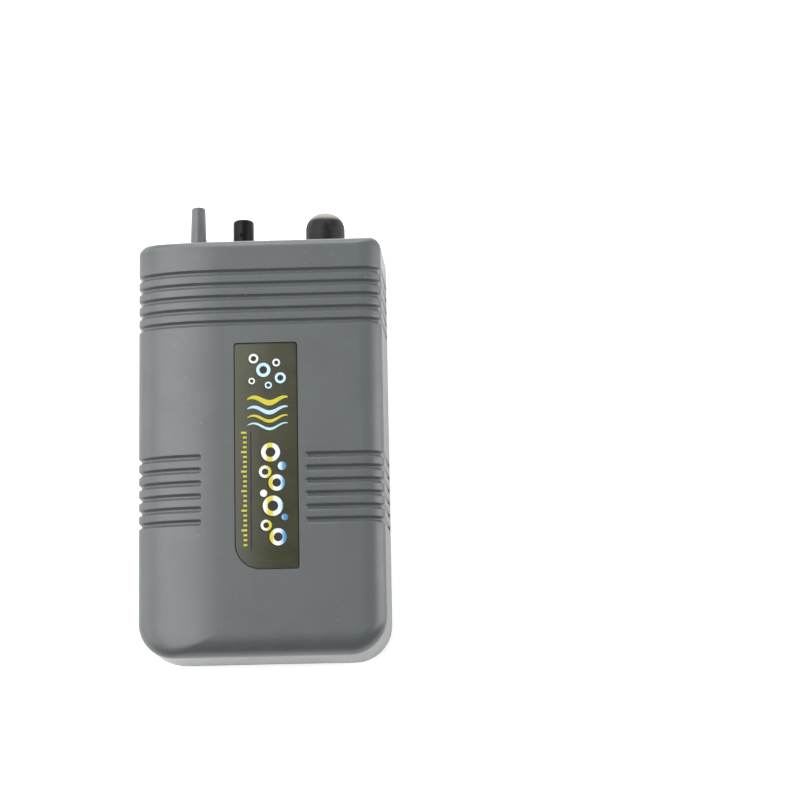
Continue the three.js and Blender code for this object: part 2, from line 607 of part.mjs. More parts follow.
function button() {
  const { radius, flange, low, shoulder, high, bore, roof } = BUTTON;
  const centre = { x: BUTTON.x, z: AXIS_Z };
  const profile = [[0, low], [flange, low], [flange, low + 1.5], [radius, low + 1.5], [radius, shoulder]];
  const steps = 7;
  for (let step = 1; step <= steps; step += 1) {
    const angle = (step / steps) * Math.PI / 2;
    profile.push([radius * Math.cos(angle) ** 0.8, shoulder + (high - shoulder) * Math.sin(angle)]);
  }
  profile[profile.length - 1][0] = 0;
  const hollow = rod('y', centre, low - 1, roof, bore, 20);
  return cut(turned('y', centre, profile, 28), hollow);
}

function switchBody() {
  const { half, low, high } = SWITCH;
  const housing = block(BUTTON.x - half, BUTTON.x + half, low, high, AXIS_Z - half, AXIS_Z + half);
  return cut(housing, rod('y', { x: BUTTON.x, z: AXIS_Z }, low + 3, high + 1, 2.1, 20));
}

function buttonSpring() {
  const curve = new ConeSpring({ x: BUTTON.x, z: AXIS_Z }, SWITCH.high + 0.6, BUTTON.roof - 0.6, 3.3, 3.3, 5);
  return sweep(curve, 55, 0.35, 3);
}

// ---- wires -----------------------------------------------------------------------------------
const WIRES = {
  wire_cell_to_switch: {
    look: RED_COVERING,
    route: [[-14, 3.6, 31.3], [-14, 5, 31.6], [-9, 6.5, 34], [6, 7, 35.2], [22, 10, 34], [28, 20, 30],
      [27.5, 30, 25], [24.2, 32, 22.4], [23.4, 33.2, 22]],
  },
  wire_switch_to_motor: {
    look: RED_COVERING,
    route: [[17.4, 33.2, 22], [17.4, 31.4, 21.8], [21, 29, 21], [26.4, 27, 21.4], [27.5, 24.6, 22], [25, 23.5, 22]],
  },
  wire_motor_to_cell: {
    look: DARK_COVERING,
    route: [[25, 13.5, 22], [27.6, 12.4, 22.4], [27, 8.6, 26], [20, 5.6, 30.4], [14.6, 5, 31.4], [14, 3.6, 31.3]],
  },
};

function wire(route) {
  const curve = new THREE.CatmullRomCurve3(route.map((point) => new THREE.Vector3(...point)));
  return sweep(curve, route.length * 4, WIRE_RADIUS, 4);
}

// ---- assembly --------------------------------------------------------------------------------
node('front_cover', frontCover(), GREY_PLASTIC);
node('rear_cover', rearCover(), GREY_PLASTIC);
node('battery_door', batteryDoor(), GREY_PLASTIC);
node('label_plate', labelSolid(-0.15, CASE.crest - LABEL.pocket + 0.1, LABEL.thick), OLIVE_LABEL);
screwPlaces.forEach((place, i) => {
  node(`case_screw_${i + 1}`, screw('z', place, 20, SCREW_POST.seat - CLEAR, 1.1, 2.7, 1.9), STEEL);
});

node('battery_cell_left', cell(-CELL.x, CELL.leftLow, true), CELL_JACKET);
node('battery_cell_right', cell(CELL.x, CELL.rightLow, false), CELL_JACKET);
node('contact_plate_plus', topContact(-1), STEEL);
node('contact_plate_minus', topContact(1), STEEL);
node('contact_spring_minus', contactSpring(CELL.x, CELL.rightLow + CELL.body + 0.1, CONTACT.low - 0.1, 0.45), STEEL);
node('contact_link_plate', linkPlate(), STEEL);
const linkTop = CONTACT.footLow + CONTACT.thick;
node('contact_link_spring', contactSpring(-CELL.x, linkTop + 0.1, CELL.leftLow - 0.1, 0.45), STEEL);

node('chassis', chassis(), WHITE_PLASTIC);
PADS.slice(0, 2).forEach((pad, i) => {
  node(`chassis_screw_${i + 1}`, screw('z', pad, 1.8, CHASSIS.top + 0.1, 1.05, 2.2, 1.4), STEEL);
});
node('motor_can', motorCan(), STEEL);
node('motor_end_cap', motorCap(), WHITE_PLASTIC);
[-5, 5].forEach((dy, i) => {
  const y = MOTOR.y + dy;
  node(`motor_terminal_${i + 1}`, block(MOTOR.cap + 0.1, 24, y - 1.2, y + 1.2, AXIS_Z - 0.3, AXIS_Z + 0.3), BRASS);
});
node('motor_strap', motorStrap(), STEEL);
strapFeet().forEach((y, i) => {
  node(`strap_screw_${i + 1}`, screw('z', { x: 5, y }, 10, AXIS_Z - 0.2, 0.9, 1.8, 1.2), STEEL);
});
node('motor_shaft', rod('x', { y: MOTOR.y, z: AXIS_Z }, CRANK.low + 1.3, MOTOR.low + 5.5, 1, 16), STEEL);
node('crank_disc', crank(), BRASS);
node('connecting_rod', connectingRod(), WHITE_PLASTIC);

node('diaphragm', diaphragm(), BLACK_RUBBER);
node('valve_plate', valvePlate(), WHITE_PLASTIC);
node('inlet_flap', flap(HEAD.x + 4, 40.7), BLACK_RUBBER);
node('outlet_flap', flap(HEAD.x - 4, 43.8), BLACK_RUBBER);
node('pump_head', pumpHead(), GREY_PLASTIC);
headScrewPlaces().forEach((place, i) => {
  node(`head_screw_${i + 1}`, screw('y', place, 47.6, CHASSIS.bracketLow - 0.1, 1, 2, 1.5), STEEL);
});

node('bleed_knob', knob(), BLACK_PLASTIC);
node('bleed_stem', rod('y', { x: KNOB.x, z: AXIS_Z }, 51, KNOB.high - 3.3, KNOB.stem, 20), BRASS);
const sealCentre = { x: KNOB.x, z: AXIS_Z };
node('bleed_seal', tube('y', sealCentre, HEAD.high + 0.1, HEAD.high + 0.9, 2.8, KNOB.stem + CLEAR, 20), BLACK_RUBBER);

node('power_button', button(), BLACK_RUBBER);
node('switch_plunger', rod('y', { x: BUTTON.x, z: AXIS_Z }, SWITCH.low + 5.5, BUTTON.roof - 0.1, 1.8, 20), WHITE_PLASTIC);
node('switch_spring', buttonSpring(), STEEL);
node('switch_body', switchBody(), BLACK_PLASTIC);
[-3, 3].forEach((dx, i) => {
  const x = BUTTON.x + dx;
  node(`switch_terminal_${i + 1}`, block(x - 1.1, x + 1.1, 34, SWITCH.low - 0.1, AXIS_Z - 0.3, AXIS_Z + 0.3), BRASS);
});

for (const [name, { look, route }] of Object.entries(WIRES)) {
  node(name, wire(route), look);
}
node('inlet_filter', block(-13, 13, 24, 44, CASE.wall + CLEAR, CHASSIS.bottom - CLEAR), FOAM);

export default group;
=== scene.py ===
"""Looks of a pocket air pump: moulded case, printed label, fittings and the works inside.

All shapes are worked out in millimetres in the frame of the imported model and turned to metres
when a piece is finished. +X is to the right of the front, +Y towards the air nozzle, +Z out of
the front, and the pump lies on its back.
"""

import logging
import math
from dataclasses import dataclass, field
from enum import Enum
from typing import Iterable, Mapping, Optional, Sequence, Union

import bmesh
import bpy
from mathutils import Matrix, Vector


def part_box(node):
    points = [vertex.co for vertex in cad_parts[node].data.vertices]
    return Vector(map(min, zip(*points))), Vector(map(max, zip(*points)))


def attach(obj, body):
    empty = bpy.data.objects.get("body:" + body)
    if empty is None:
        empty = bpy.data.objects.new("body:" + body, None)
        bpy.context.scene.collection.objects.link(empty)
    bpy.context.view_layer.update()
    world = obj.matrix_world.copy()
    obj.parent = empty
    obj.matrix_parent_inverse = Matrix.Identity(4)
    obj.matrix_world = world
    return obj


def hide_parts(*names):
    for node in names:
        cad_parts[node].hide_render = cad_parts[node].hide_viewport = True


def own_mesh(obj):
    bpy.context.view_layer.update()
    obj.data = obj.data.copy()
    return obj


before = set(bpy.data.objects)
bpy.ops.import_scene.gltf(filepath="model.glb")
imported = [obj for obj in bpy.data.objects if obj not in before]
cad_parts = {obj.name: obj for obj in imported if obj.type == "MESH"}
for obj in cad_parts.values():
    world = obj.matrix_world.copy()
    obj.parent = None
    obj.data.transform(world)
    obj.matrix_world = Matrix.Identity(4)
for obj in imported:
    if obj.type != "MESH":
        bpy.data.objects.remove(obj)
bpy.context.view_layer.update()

log = logging.getLogger("air_pump")

MM = 0.001
QUARTER = math.pi / 2
BEYOND = 80.0
Point = tuple[float, float, float]
Colour = tuple[float, float, float, float]
Profile = Sequence[tuple[float, float]]
Mesh = bmesh.types.BMesh
Material = bpy.types.Material


def span(node: str) -> tuple[Vector, Vector]:
    """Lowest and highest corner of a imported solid, in millimetres."""
    low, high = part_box(node)
    return low / MM, high / MM


def middle(node: str) -> Vector:
    """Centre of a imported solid, in millimetres."""
    low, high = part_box(node)
    return (low + high) / 2 / MM


# ---- meshes ------------------------------------------------------------------------------------
class Cut(Enum):
    """How one solid works on another."""

    AWAY = "DIFFERENCE"
    JOIN = "UNION"
    KEEP = "INTERSECT"


class Axis(Enum):
    """The direction that a turned or round piece runs along."""

    X = (1.0, 0.0, 0.0)
    Y = (0.0, 1.0, 0.0)
    Z = (0.0, 0.0, 1.0)

    @property
    def along(self) -> Vector:
        """Unit vector of the axis."""
        return Vector(self.value)

    @property
    def side(self) -> Vector:
        """Unit vector square to the axis, where a profile starts."""
        return Vector((0, 0, 1)) if self is Axis.X else Vector((1, 0, 0))


def tidy(mesh: Mesh) -> Mesh:
    """Merges doubled points and turns every face outwards.

    Args:
        mesh: A closed shape in millimetres.

    Returns:
        The same mesh.
    """
    bmesh.ops.remove_doubles(mesh, verts=mesh.verts, dist=0.001)
    bmesh.ops.recalc_face_normals(mesh, faces=mesh.faces)
    return mesh


def block(low: Point, high: Point, round_by: float = 0.0, segments: int = 2) -> Mesh:
    """Makes a box between two corners.

    Args:
        low: Lowest corner.
        high: Highest corner.
        round_by: Width of the rounding on every edge, or 0 for sharp edges.
        segments: Steps in the rounding.

    Returns:
        The closed box.
    """
    mesh = bmesh.new()
    size = Vector(high) - Vector(low)
    middle = (Vector(high) + Vector(low)) / 2
    bmesh.ops.create_cube(mesh, size=1.0)
    bmesh.ops.scale(mesh, vec=size, verts=mesh.verts)
    bmesh.ops.translate(mesh, vec=middle, verts=mesh.verts)
    if round_by > 0:
        bmesh.ops.bevel(mesh, geom=mesh.edges, offset=round_by, segments=segments,
                        affect="EDGES", profile=0.5, material=-1, clamp_overlap=True)
    return mesh


def turn(axis: Axis, centre: Point, profile: Profile, steps: int = 48) -> Mesh:
    """Spins a profile once round an axis.

    Args:
        axis: The axis that the profile turns about.
        centre: A point on the axis, from which distances along it count.
        profile: Pairs of radius and distance along the axis.
        steps: Faces round the turn.

    Returns:
        The closed turned shape.
    """
    mesh = bmesh.new()
    middle = Vector(centre)
    points = [mesh.verts.new(middle + axis.side * r + axis.along * a) for r, a in profile]
    edges = [mesh.edges.new(pair) for pair in zip(points, points[1:])]
    bmesh.ops.spin(mesh, geom=points + edges, cent=middle, axis=axis.along, angle=2 * math.pi,
                   steps=steps, use_merge=True, use_duplicate=False)
    return tidy(mesh)


def rod(axis: Axis, centre: Point, low: float, high: float, radius: float, steps: int = 32,
        round_by: float = 0.0) -> Mesh:
    """Makes a round bar with its rims eased.

    Args:
        axis: Direction of the bar.
        centre: A point on its centre line.
        low: Where it starts, along the axis from the centre.
        high: Where it ends.
        radius: Radius of the bar.
        steps: Faces round it.
        round_by: Size of the easing at both rims.

    Returns:
        The closed bar.
    """
    profile = [(0.0, low)]
    profile += rim(radius, low, round_by, rising=True) if round_by else [(radius, low)]
    profile += rim(radius, high, round_by, rising=False) if round_by else [(radius, high)]
    profile.append((0.0, high))
    return turn(axis, centre, profile, steps)


def rim(radius: float, level: float, round_by: float, rising: bool, steps: int = 3) -> Profile:
    """Points of a quarter round at the rim of a turned piece.

    Args:
        radius: Outer radius.
        level: Height of the flat end that the rim belongs to.
        round_by: Radius of the rounding.
        rising: True at the low end of the profile, False at the high end.
        steps: Steps in the rounding.

    Returns:
        Profile points in order.
    """
    points = []
    for step in range(steps + 1):
        angle = step / steps * QUARTER
        inset = round_by * (1 - math.sin(angle)) if rising else round_by * (1 - math.cos(angle))
        climb = round_by * (1 - math.cos(angle)) if rising else -round_by * (1 - math.sin(angle))
        points.append((radius - inset, level + climb))
    return points


def carve(mesh: Mesh, tools: Iterable[Mesh], how: Cut = Cut.AWAY) -> Mesh:
    """Works one or more solids on another, as a mould maker's inserts do.

    Args:
        mesh: The solid that is worked on. It is freed.
        tools: The solids that work on it. They are freed.
        how: Whether they cut away, join or keep the shared part.

    Returns:
        The worked solid.
    """
    work = _loose_object(mesh, "work")
    helpers = [_loose_object(tool, "insert") for tool in tools]
    for helper in helpers:
        modifier = work.modifiers.new("insert", "BOOLEAN")
        modifier.operation = how.value
        modifier.solver = "EXACT"
        modifier.object = helper
    bpy.context.view_layer.update()
    ready = work.evaluated_get(bpy.context.evaluated_depsgraph_get())
    result = bmesh.new()
    result.from_mesh(ready.to_mesh())
    ready.to_mesh_clear()
    for spare in [work, *helpers]:
        data = spare.data
        bpy.data.objects.remove(spare)
        bpy.data.meshes.remove(data)
    bmesh.ops.remove_doubles(result, verts=result.verts, dist=0.0005)
    return result


def _loose_object(mesh: Mesh, name: str) -> bpy.types.Object:
    """Puts a mesh in a working object of its own and frees the mesh.

    Args:
        mesh: The solid.
        name: Name of the working object.

    Returns:
        The linked object.
    """
    data = bpy.data.meshes.new(name)
    mesh.to_mesh(data)
    mesh.free()
    thing = bpy.data.objects.new(name, data)
    bpy.context.scene.collection.objects.link(thing)
    return thing


@dataclass
class Finisher:
    """Turns meshes into finished pieces that ride on a body of the frame."""

    looks: "Finishes"
    made: int = 0
    materials: dict[str, Material] = field(default_factory=dict)

    def material(self, finish: "Finish") -> Material:
        """Makes a finish's material once.

        Args:
            finish: The finish.

        Returns:
            Its material.
        """
        if finish.name not in self.materials:
            self.materials[finish.name] = finish.make()
        return self.materials[finish.name]

    def piece(self, name: str, mesh: Mesh, finish: "Finish", replaces: str = "", body: str = "case",
              crease: float = 32.0) -> bpy.types.Object:
        """Finishes a mesh in millimetres as a piece of the pump.

        Args:
            name: Name of the piece.
            mesh: The shape, which is freed.
            finish: Its finish, whose material the piece gets.
            replaces: The solid of the frame that it stands for, if any.
            body: The body of the frame that it moves with.
            crease: Edges that turn by more than this many degrees stay crisp.

        Returns:
            The finished object.
        """
        limit = math.radians(crease)
        for face in mesh.faces:
            face.smooth = True
        for edge in mesh.edges:
            edge.smooth = len(edge.link_faces) == 2 and edge.calc_face_angle(math.pi) < limit
        bmesh.ops.scale(mesh, vec=(MM, MM, MM), verts=mesh.verts)
        thing = _loose_object(mesh, name)
        thing.data.materials.clear()
        thing.data.materials.append(self.material(finish))
        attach(thing, body)
        if replaces:
            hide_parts(replaces)
        self.made += 1
        log.info("piece %s: %d faces on %s", name, len(thing.data.polygons), body)
        return thing

    def dress(self, nodes: Iterable[str], finish: "Finish") -> None:
        """Gives solids of the frame a finish and leaves their shape alone.

        Args:
            nodes: Names of the solids.
            finish: Their finish.
        """
        for name in nodes:
            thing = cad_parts[name]
            if not thing.material_slots:
                thing.data.materials.append(self.material(finish))
            for place in thing.material_slots:
                place.material = self.material(finish)
            log.info("dressed %s", name)


# ---- shader sheets -----------------------------------------------------------------------------
Value = Union["Signal", float]


@dataclass
class Signal:
    """A number that varies over a surface, with arithmetic that adds the matching nodes."""

    sheet: "Sheet"
    socket: bpy.types.NodeSocket

    def _math(self, operation: str, first: Value, second: Value = 0.0) -> "Signal":
        """Adds a Math node.

        Args:
            operation: The node's operation.
            first: First value.
            second: Second value.

        Returns:
            The node's result.
        """
        node = self.sheet.add("ShaderNodeMath", {"operation": operation}, {0: first, 1: second})
        return Signal(self.sheet, node.outputs[0])

    def __add__(self, other: Value) -> "Signal":
        """Sum."""
        return self._math("ADD", self, other)

    __radd__ = __add__

    def __sub__(self, other: Value) -> "Signal":
        """Difference."""
        return self._math("SUBTRACT", self, other)

    def __rsub__(self, other: Value) -> "Signal":
        """Difference from a number."""
        return self._math("SUBTRACT", other, self)

    def __mul__(self, other: Value) -> "Signal":
        """Product."""
        return self._math("MULTIPLY", self, other)

    __rmul__ = __mul__

    def step(self, low: float, high: float) -> "Signal":
        """Rises smoothly from 0 at low to 1 at high.

        Args:
            low: Where the rise starts.
            high: Where it ends.

        Returns:
            The eased value.
        """
        settings = {"interpolation_type": "SMOOTHSTEP", "clamp": True}
        limits = {"Value": self, "From Min": low, "From Max": high}
        node = self.sheet.add("ShaderNodeMapRange", settings, limits)
        return Signal(self.sheet, node.outputs["Result"])


class Sheet:
    """The node sheet of one material."""

    def __init__(self, name: str) -> None:
        """Opens an empty material.

        Args:
            name: Name of the material.
        """
        self.material = bpy.data.materials.new(name)
        self.material.use_nodes = True
        self.tree = self.material.node_tree
        self.tree.nodes.clear()
        self.place = self.add("ShaderNodeTexCoord").outputs["Object"]

    def add(self, kind: str, settings: Optional[Mapping[str, object]] = None,
            values: Optional[Mapping[Union[str, int], object]] = None) -> bpy.types.Node:
        """Adds a node, sets its settings first and then its sockets.

        Args:
            kind: Type of the node.
            settings: Attributes of the node. "stops" sets a colour ramp.
            values: Numbers, colours, sockets or signals for its inputs.

        Returns:
            The node.
        """
        node = self.tree.nodes.new(kind)
        for key, setting in (settings or {}).items():
            if key == "stops":
                self._ramp(node, setting)
            else:
                setattr(node, key, setting)
        for key, value in (values or {}).items():
            link = value.socket if isinstance(value, Signal) else value
            if isinstance(link, bpy.types.NodeSocket):
                self.tree.links.new(link, node.inputs[key])
            else:
                node.inputs[key].default_value = link
        return node

    @staticmethod
    def _ramp(node: bpy.types.Node, stops: Sequence[tuple[float, tuple[float, ...]]]) -> None:
        """Sets the stops of a colour ramp.

        Args:
            node: The ramp.
            stops: Pairs of position and colour.
        """
        ramp = node.color_ramp
        while len(ramp.elements) > 1:
            ramp.elements.remove(ramp.elements[-1])
        ramp.elements[0].position, ramp.elements[0].color = stops[0]
        for position, colour in stops[1:]:
            ramp.elements.new(position).color = colour

    def noise(self, size: float, detail: float = 2.0, roughness: float = 0.5,
              stretch: Point = (1, 1, 1)) -> Signal:
        """Soft random pattern.

        Args:
            size: Size of its patches in millimetres.
            detail: Octaves of finer pattern.
            roughness: Strength of the finer pattern.
            stretch: Scale of the pattern along each axis.

        Returns:
            Values about one half.
        """
        spot = self.add("ShaderNodeMapping", None, {"Vector": self.place, "Scale": stretch}).outputs[0]
        node = self.add("ShaderNodeTexNoise", None, {
            "Vector": spot, "Scale": 1 / (size * MM), "Detail": detail, "Roughness": roughness})
        return Signal(self, node.outputs[0])

    def axis(self, index: int) -> Signal:
        """Distance along one axis of the frame, in millimetres.

        Args:
            index: 0 for X, 1 for Y, 2 for Z.

        Returns:
            The distance.
        """
        node = self.add("ShaderNodeSeparateXYZ", None, {0: self.place})
        return Signal(self, node.outputs[index]) * (1 / MM)

    def blend(self, amount: Value, first: object, second: object) -> bpy.types.NodeSocket:
        """Mixes two colours.

        Args:
            amount: 0 gives the first, 1 the second.
            first: A colour or a socket.
            second: A colour or a socket.

        Returns:
            The mixed colour.
        """
        node = self.add("ShaderNodeMix", {"data_type": "RGBA"}, {0: amount, 6: first, 7: second})
        return node.outputs[2]

    def bump(self, height: Signal, depth: float, strength: float = 1.0) -> bpy.types.NodeSocket:
        """Turns a height pattern into a normal.

        Args:
            height: Pattern from 0 to 1.
            depth: Its depth in millimetres.
            strength: How much of it shows.

        Returns:
            The normal.
        """
        values = {"Strength": strength, "Distance": depth * MM, "Height": height}
        return self.add("ShaderNodeBump", None, values).outputs[0]

    def surface(self, values: Mapping[str, object]) -> Material:
        """Closes the sheet with a principled surface.

        Args:
            values: Values or links of the shader's sockets.

        Returns:
            The finished material.
        """
        shader = self.add("ShaderNodeBsdfPrincipled", None, values)
        self.add("ShaderNodeOutputMaterial", None, {"Surface": shader.outputs[0]})
        return self.material


def tone(red: float, green: float, blue: float) -> Colour:
    """Turns a screen colour of 0 to 255 into scene light.

    Args:
        red: Red part.
        green: Green part.
        blue: Blue part.

    Returns:
        The colour with full cover.
    """
    def light(part: float) -> float:
        """One channel of the colour."""
        part /= 255
        return part / 12.92 if part <= 0.04045 else ((part + 0.055) / 1.055) ** 2.4
    return (light(red), light(green), light(blue), 1.0)


# ---- finishes ----------------------------------------------------------------------------------
DUST = tone(190, 192, 190)
WORN_INK = tone(150, 150, 140)
WORN_JACKET = tone(170, 172, 176)


@dataclass(frozen=True)
class Finish:
    """A finish, with the name of the material slot that it belongs to."""

    name: str
    slot: str

    def make(self) -> Material:
        """Builds the material."""
        raise NotImplementedError


@dataclass(frozen=True)
class MouldedPlastic(Finish):
    """Opaque moulded plastic with a fine spark-eroded grain and faint flow mottling."""

    colour: Colour
    shade: Colour
    roughness: float = 0.4
    grain: float = 0.012
    gloss: float = 0.5
    dust: float = 0.0

    def make(self) -> Material:
        """Builds the material.

        Returns:
            The material.
        """
        sheet = Sheet(self.name)
        mottle = sheet.noise(9.0, 3.0, 0.55)
        fleck = sheet.noise(0.35, 2.0, 0.6)
        grain = sheet.noise(0.16, 1.0, 0.5)
        scuff = sheet.noise(5.0, 4.0, 0.7, (1.0, 0.12, 1.0)).step(0.56, 0.72)
        specks = sheet.noise(0.5, 0.0, 0.5).step(0.84, 0.9)
        cloudy = mottle.step(0.25, 0.75) * 0.7 + fleck.step(0.35, 0.65) * 0.3
        plain = sheet.blend(cloudy, self.colour, self.shade)
        mixed = sheet.blend(specks * self.dust, plain, DUST)
        rough = mottle * 0.08 + fleck * 0.05 + scuff * 0.05 + (self.roughness - 0.08)
        return sheet.surface({
            "Base Color": mixed, "Roughness": rough, "IOR": 1.5, "Specular IOR Level": self.gloss,
            "Normal": sheet.bump(grain * 0.7 + fleck * 0.3, self.grain, 0.6)})


@dataclass(frozen=True)
class SoftRubber(Finish):
    """Matt black rubber with faint random dust specks and a painted highlight: its crown, furthest along Y,
    is coloured pale.
    """

    colour: Colour
    dust_and_painted_highlight: Colour
    roughness: float = 0.5
    # Heights along Y over which the painted highlight on the crown fades in.
    crown: tuple[float, float] = (66.4, 68.2)

    def make(self) -> Material:
        """Builds the material.

        Returns:
            The material.
        """
        sheet = Sheet(self.name)
        cloud = sheet.noise(2.6, 4.0, 0.6)
        dust = sheet.noise(0.22, 2.0, 0.6)
        # Painted highlight: past the crown height along Y the colour turns pale, standing in for light on
        # the dome's top.
        painted_crown_highlight = (sheet.axis(1) + cloud * 1.2 - 0.6).step(*self.crown)
        amount = cloud.step(0.35, 0.8) * 0.03 + dust.step(0.5, 0.75) * 0.04 + painted_crown_highlight * 0.85
        mixed = sheet.blend(amount, self.colour, self.dust_and_painted_highlight)
        return sheet.surface({
            "Base Color": mixed, "Roughness": cloud * 0.12 + (self.roughness - 0.06), "IOR": 1.5,
            "Specular IOR Level": 0.25,
            "Normal": sheet.bump(dust, 0.02, 0.5)})


@dataclass(frozen=True)
class PlatedMetal(Finish):
    """Drawn or plated metal with fine lines and slight tarnish."""

    colour: Colour
    tarnish: Colour
    roughness: float = 0.28
    lines: Point = (1.0, 12.0, 12.0)

    def make(self) -> Material:
        """Builds the material.

        Returns:
            The material.
        """
        sheet = Sheet(self.name)
        brushed = sheet.noise(1.4, 3.0, 0.6, self.lines)
        stain = sheet.noise(4.0, 4.0, 0.6)
        mixed = sheet.blend(stain.step(0.45, 0.75) * 0.55, self.colour, self.tarnish)
        return sheet.surface({
            "Base Color": mixed, "Metallic": 1.0,
            "Roughness": brushed * 0.16 + stain * 0.1 + (self.roughness - 0.12),
            "Normal": sheet.bump(brushed, 0.006, 0.5)})


@dataclass(frozen=True)
class PrintedFilm(Finish):
    """The label's olive film, with the fine fleck of a printed screen."""

    colour: Colour
    fleck: Colour

    def make(self) -> Material:
        """Builds the material.

        Returns:
            The material.
        """
        sheet = Sheet(self.name)
        screen = sheet.noise(0.3, 2.0, 0.7)
        cloud = sheet.noise(7.0, 3.0, 0.5)
        flecks = screen.step(0.38, 0.66) * 0.6 + cloud.step(0.3, 0.7) * 0.4
        mixed = sheet.blend(flecks, self.colour, self.fleck)
        return sheet.surface({
            "Base Color": mixed, "Roughness": cloud * 0.1 + 0.36, "IOR": 1.45,
            "Normal": sheet.bump(screen, 0.006, 0.35)})


@dataclass(frozen=True)
class BandedInk(Finish):
    """Printed ink that runs through bands of colour across the label."""

    stops: tuple[tuple[float, Colour], ...]
    left: float
    right: float

    def make(self) -> Material:
        """Builds the material.

        Returns:
            The material.
        """
        sheet = Sheet(self.name)
        screen = sheet.noise(0.25, 2.0, 0.6)
        place = (sheet.axis(0) - self.left) * (1 / (self.right - self.left)) + (screen - 0.5) * 0.12
        ramp = sheet.add("ShaderNodeValToRGB", {"stops": self.stops}, {0: place})
        worn = sheet.blend(screen.step(0.55, 0.8) * 0.25, ramp.outputs[0], WORN_INK)
        return sheet.surface({"Base Color": worn, "Roughness": screen * 0.1 + 0.33})


@dataclass(frozen=True)
class CellJacket(Finish):
    """A battery cell's printed jacket: a dark body with a bright band at the positive end."""

    body: Colour
    band: Colour
    edge: float

    def make(self) -> Material:
        """Builds the material.

        Returns:
            The material.
        """
        sheet = Sheet(self.name)
        along = sheet.axis(1)
        fleck = sheet.noise(0.5, 2.0, 0.6)
        scuff = sheet.noise(3.0, 4.0, 0.7, (1.0, 0.15, 1.0))
        share = (along + fleck * 0.1).step(self.edge - 0.15, self.edge + 0.15)
        printed = sheet.blend(share, self.body, self.band)
        worn = sheet.blend(scuff.step(0.6, 0.78) * 0.35, printed, WORN_JACKET)
        return sheet.surface({
            "Base Color": worn, "Metallic": 0.35, "Roughness": scuff * 0.2 + 0.2, "Coat Weight": 0.4,
            "Normal": sheet.bump(fleck, 0.01, 0.3)})


@dataclass(frozen=True)
class OpenFoam(Finish):
    """Open-cell filter foam, with painted shade darkening its pores."""

    colour: Colour
    painted_pore_shade: Colour

    def make(self) -> Material:
        """Builds the material.

        Returns:
            The material.
        """
        sheet = Sheet(self.name)
        cells = sheet.add("ShaderNodeTexVoronoi", None, {"Vector": sheet.place, "Scale": 1 / (0.9 * MM)})
        pores = Signal(sheet, cells.outputs["Distance"])
        # Painted shade: where the bump sinks into each pore the colour turns dark.
        mixed = sheet.blend(pores.step(0.15, 0.55), self.painted_pore_shade, self.colour)
        return sheet.surface({
            "Base Color": mixed, "Roughness": pores * 0.1 + 0.85, "Normal": sheet.bump(pores, 0.5, 1.0)})


@dataclass(frozen=True)
class StudioFloor(Finish):
    """A plain pale floor, lit a little from beneath like a product table."""

    colour: Colour
    glow: float = 0.55

    def make(self) -> Material:
        """Builds the material.

        Returns:
            The material.
        """
        sheet = Sheet(self.name)
        cloud = sheet.noise(400.0, 2.0, 0.5)
        mixed = sheet.blend(cloud, self.colour, tone(250, 250, 250))
        return sheet.surface({
            "Base Color": mixed, "Roughness": cloud * 0.1 + 0.7, "Specular IOR Level": 0.2,
            "Emission Color": mixed, "Emission Strength": self.glow})


@dataclass(frozen=True)
class Finishes:
    """Every finish that more than one piece uses."""

    case: Finish = MouldedPlastic(
        "grey_case_plastic", "case_plastic", tone(85, 89, 90), tone(79, 83, 84), 0.36, dust=0.4)
    inner: Finish = MouldedPlastic(
        "natural_inner_plastic", "inner_plastic", tone(214, 210, 200), tone(200, 196, 184), 0.5, 0.02)
    black: Finish = MouldedPlastic(
        "black_knob_plastic", "knob_plastic", tone(7, 7, 8), tone(12, 12, 12), 0.42, 0.01, 0.16)
    # The pale second colour of the rubber serves its random dust specks and the painted highlight on the
    # button's crown.
    rubber: Finish = SoftRubber("black_rubber", "soft_rubber", tone(5, 5, 5), tone(150, 146, 139))
    steel: Finish = PlatedMetal("zinc_steel", "steel", tone(196, 198, 202), tone(150, 150, 150))
    can: Finish = PlatedMetal(
        "motor_can_plate", "motor_metal", tone(186, 189, 192), tone(140, 142, 140), 0.34, (1.0, 9.0, 9.0))
    brass: Finish = PlatedMetal("bright_brass", "brass", tone(214, 176, 98), tone(150, 112, 58), 0.3)
    red: Finish = MouldedPlastic(
        "red_wire_covering", "red_covering", tone(168, 40, 32), tone(146, 32, 28), 0.42, 0.01)
    dark: Finish = MouldedPlastic(
        "black_wire_covering", "dark_covering", tone(26, 26, 28), tone(36, 36, 38), 0.42, 0.01)
    # The dark second colour of the foam is painted shade in its pores.
    foam: Finish = OpenFoam("filter_foam", "filter_foam", tone(72, 76, 80), tone(22, 24, 26))
    film: Finish = PrintedFilm("olive_label_film", "label_film", tone(42, 44, 24), tone(58, 58, 40))
    yellow: Finish = MouldedPlastic(
        "yellow_ink", "label_film", tone(196, 186, 52), tone(172, 164, 48), 0.38, 0.004)
    shadow: Finish = MouldedPlastic(
        "black_ink", "label_film", tone(16, 17, 15), tone(26, 27, 22), 0.4, 0.004)
    pale: Finish = MouldedPlastic(
        "pale_blue_ink", "label_film", tone(150, 196, 214), tone(196, 214, 222), 0.38, 0.004)


# ---- the case form -----------------------------------------------------------------------------
@dataclass(frozen=True)
class Roll:
    """How the front rolls down to one side."""

    width: float
    drop: float


@dataclass(frozen=True)
class PlanPoint:
    """A point of the case outline with its outward direction and its roll."""

    place: Vector
    outward: Vector
    core: Vector
    drop: float


@dataclass(frozen=True)
class Corner:
    """One corner of the outline, in order round it."""

    right: bool
    top: bool
    start: float
    leaves: str
    meets: str


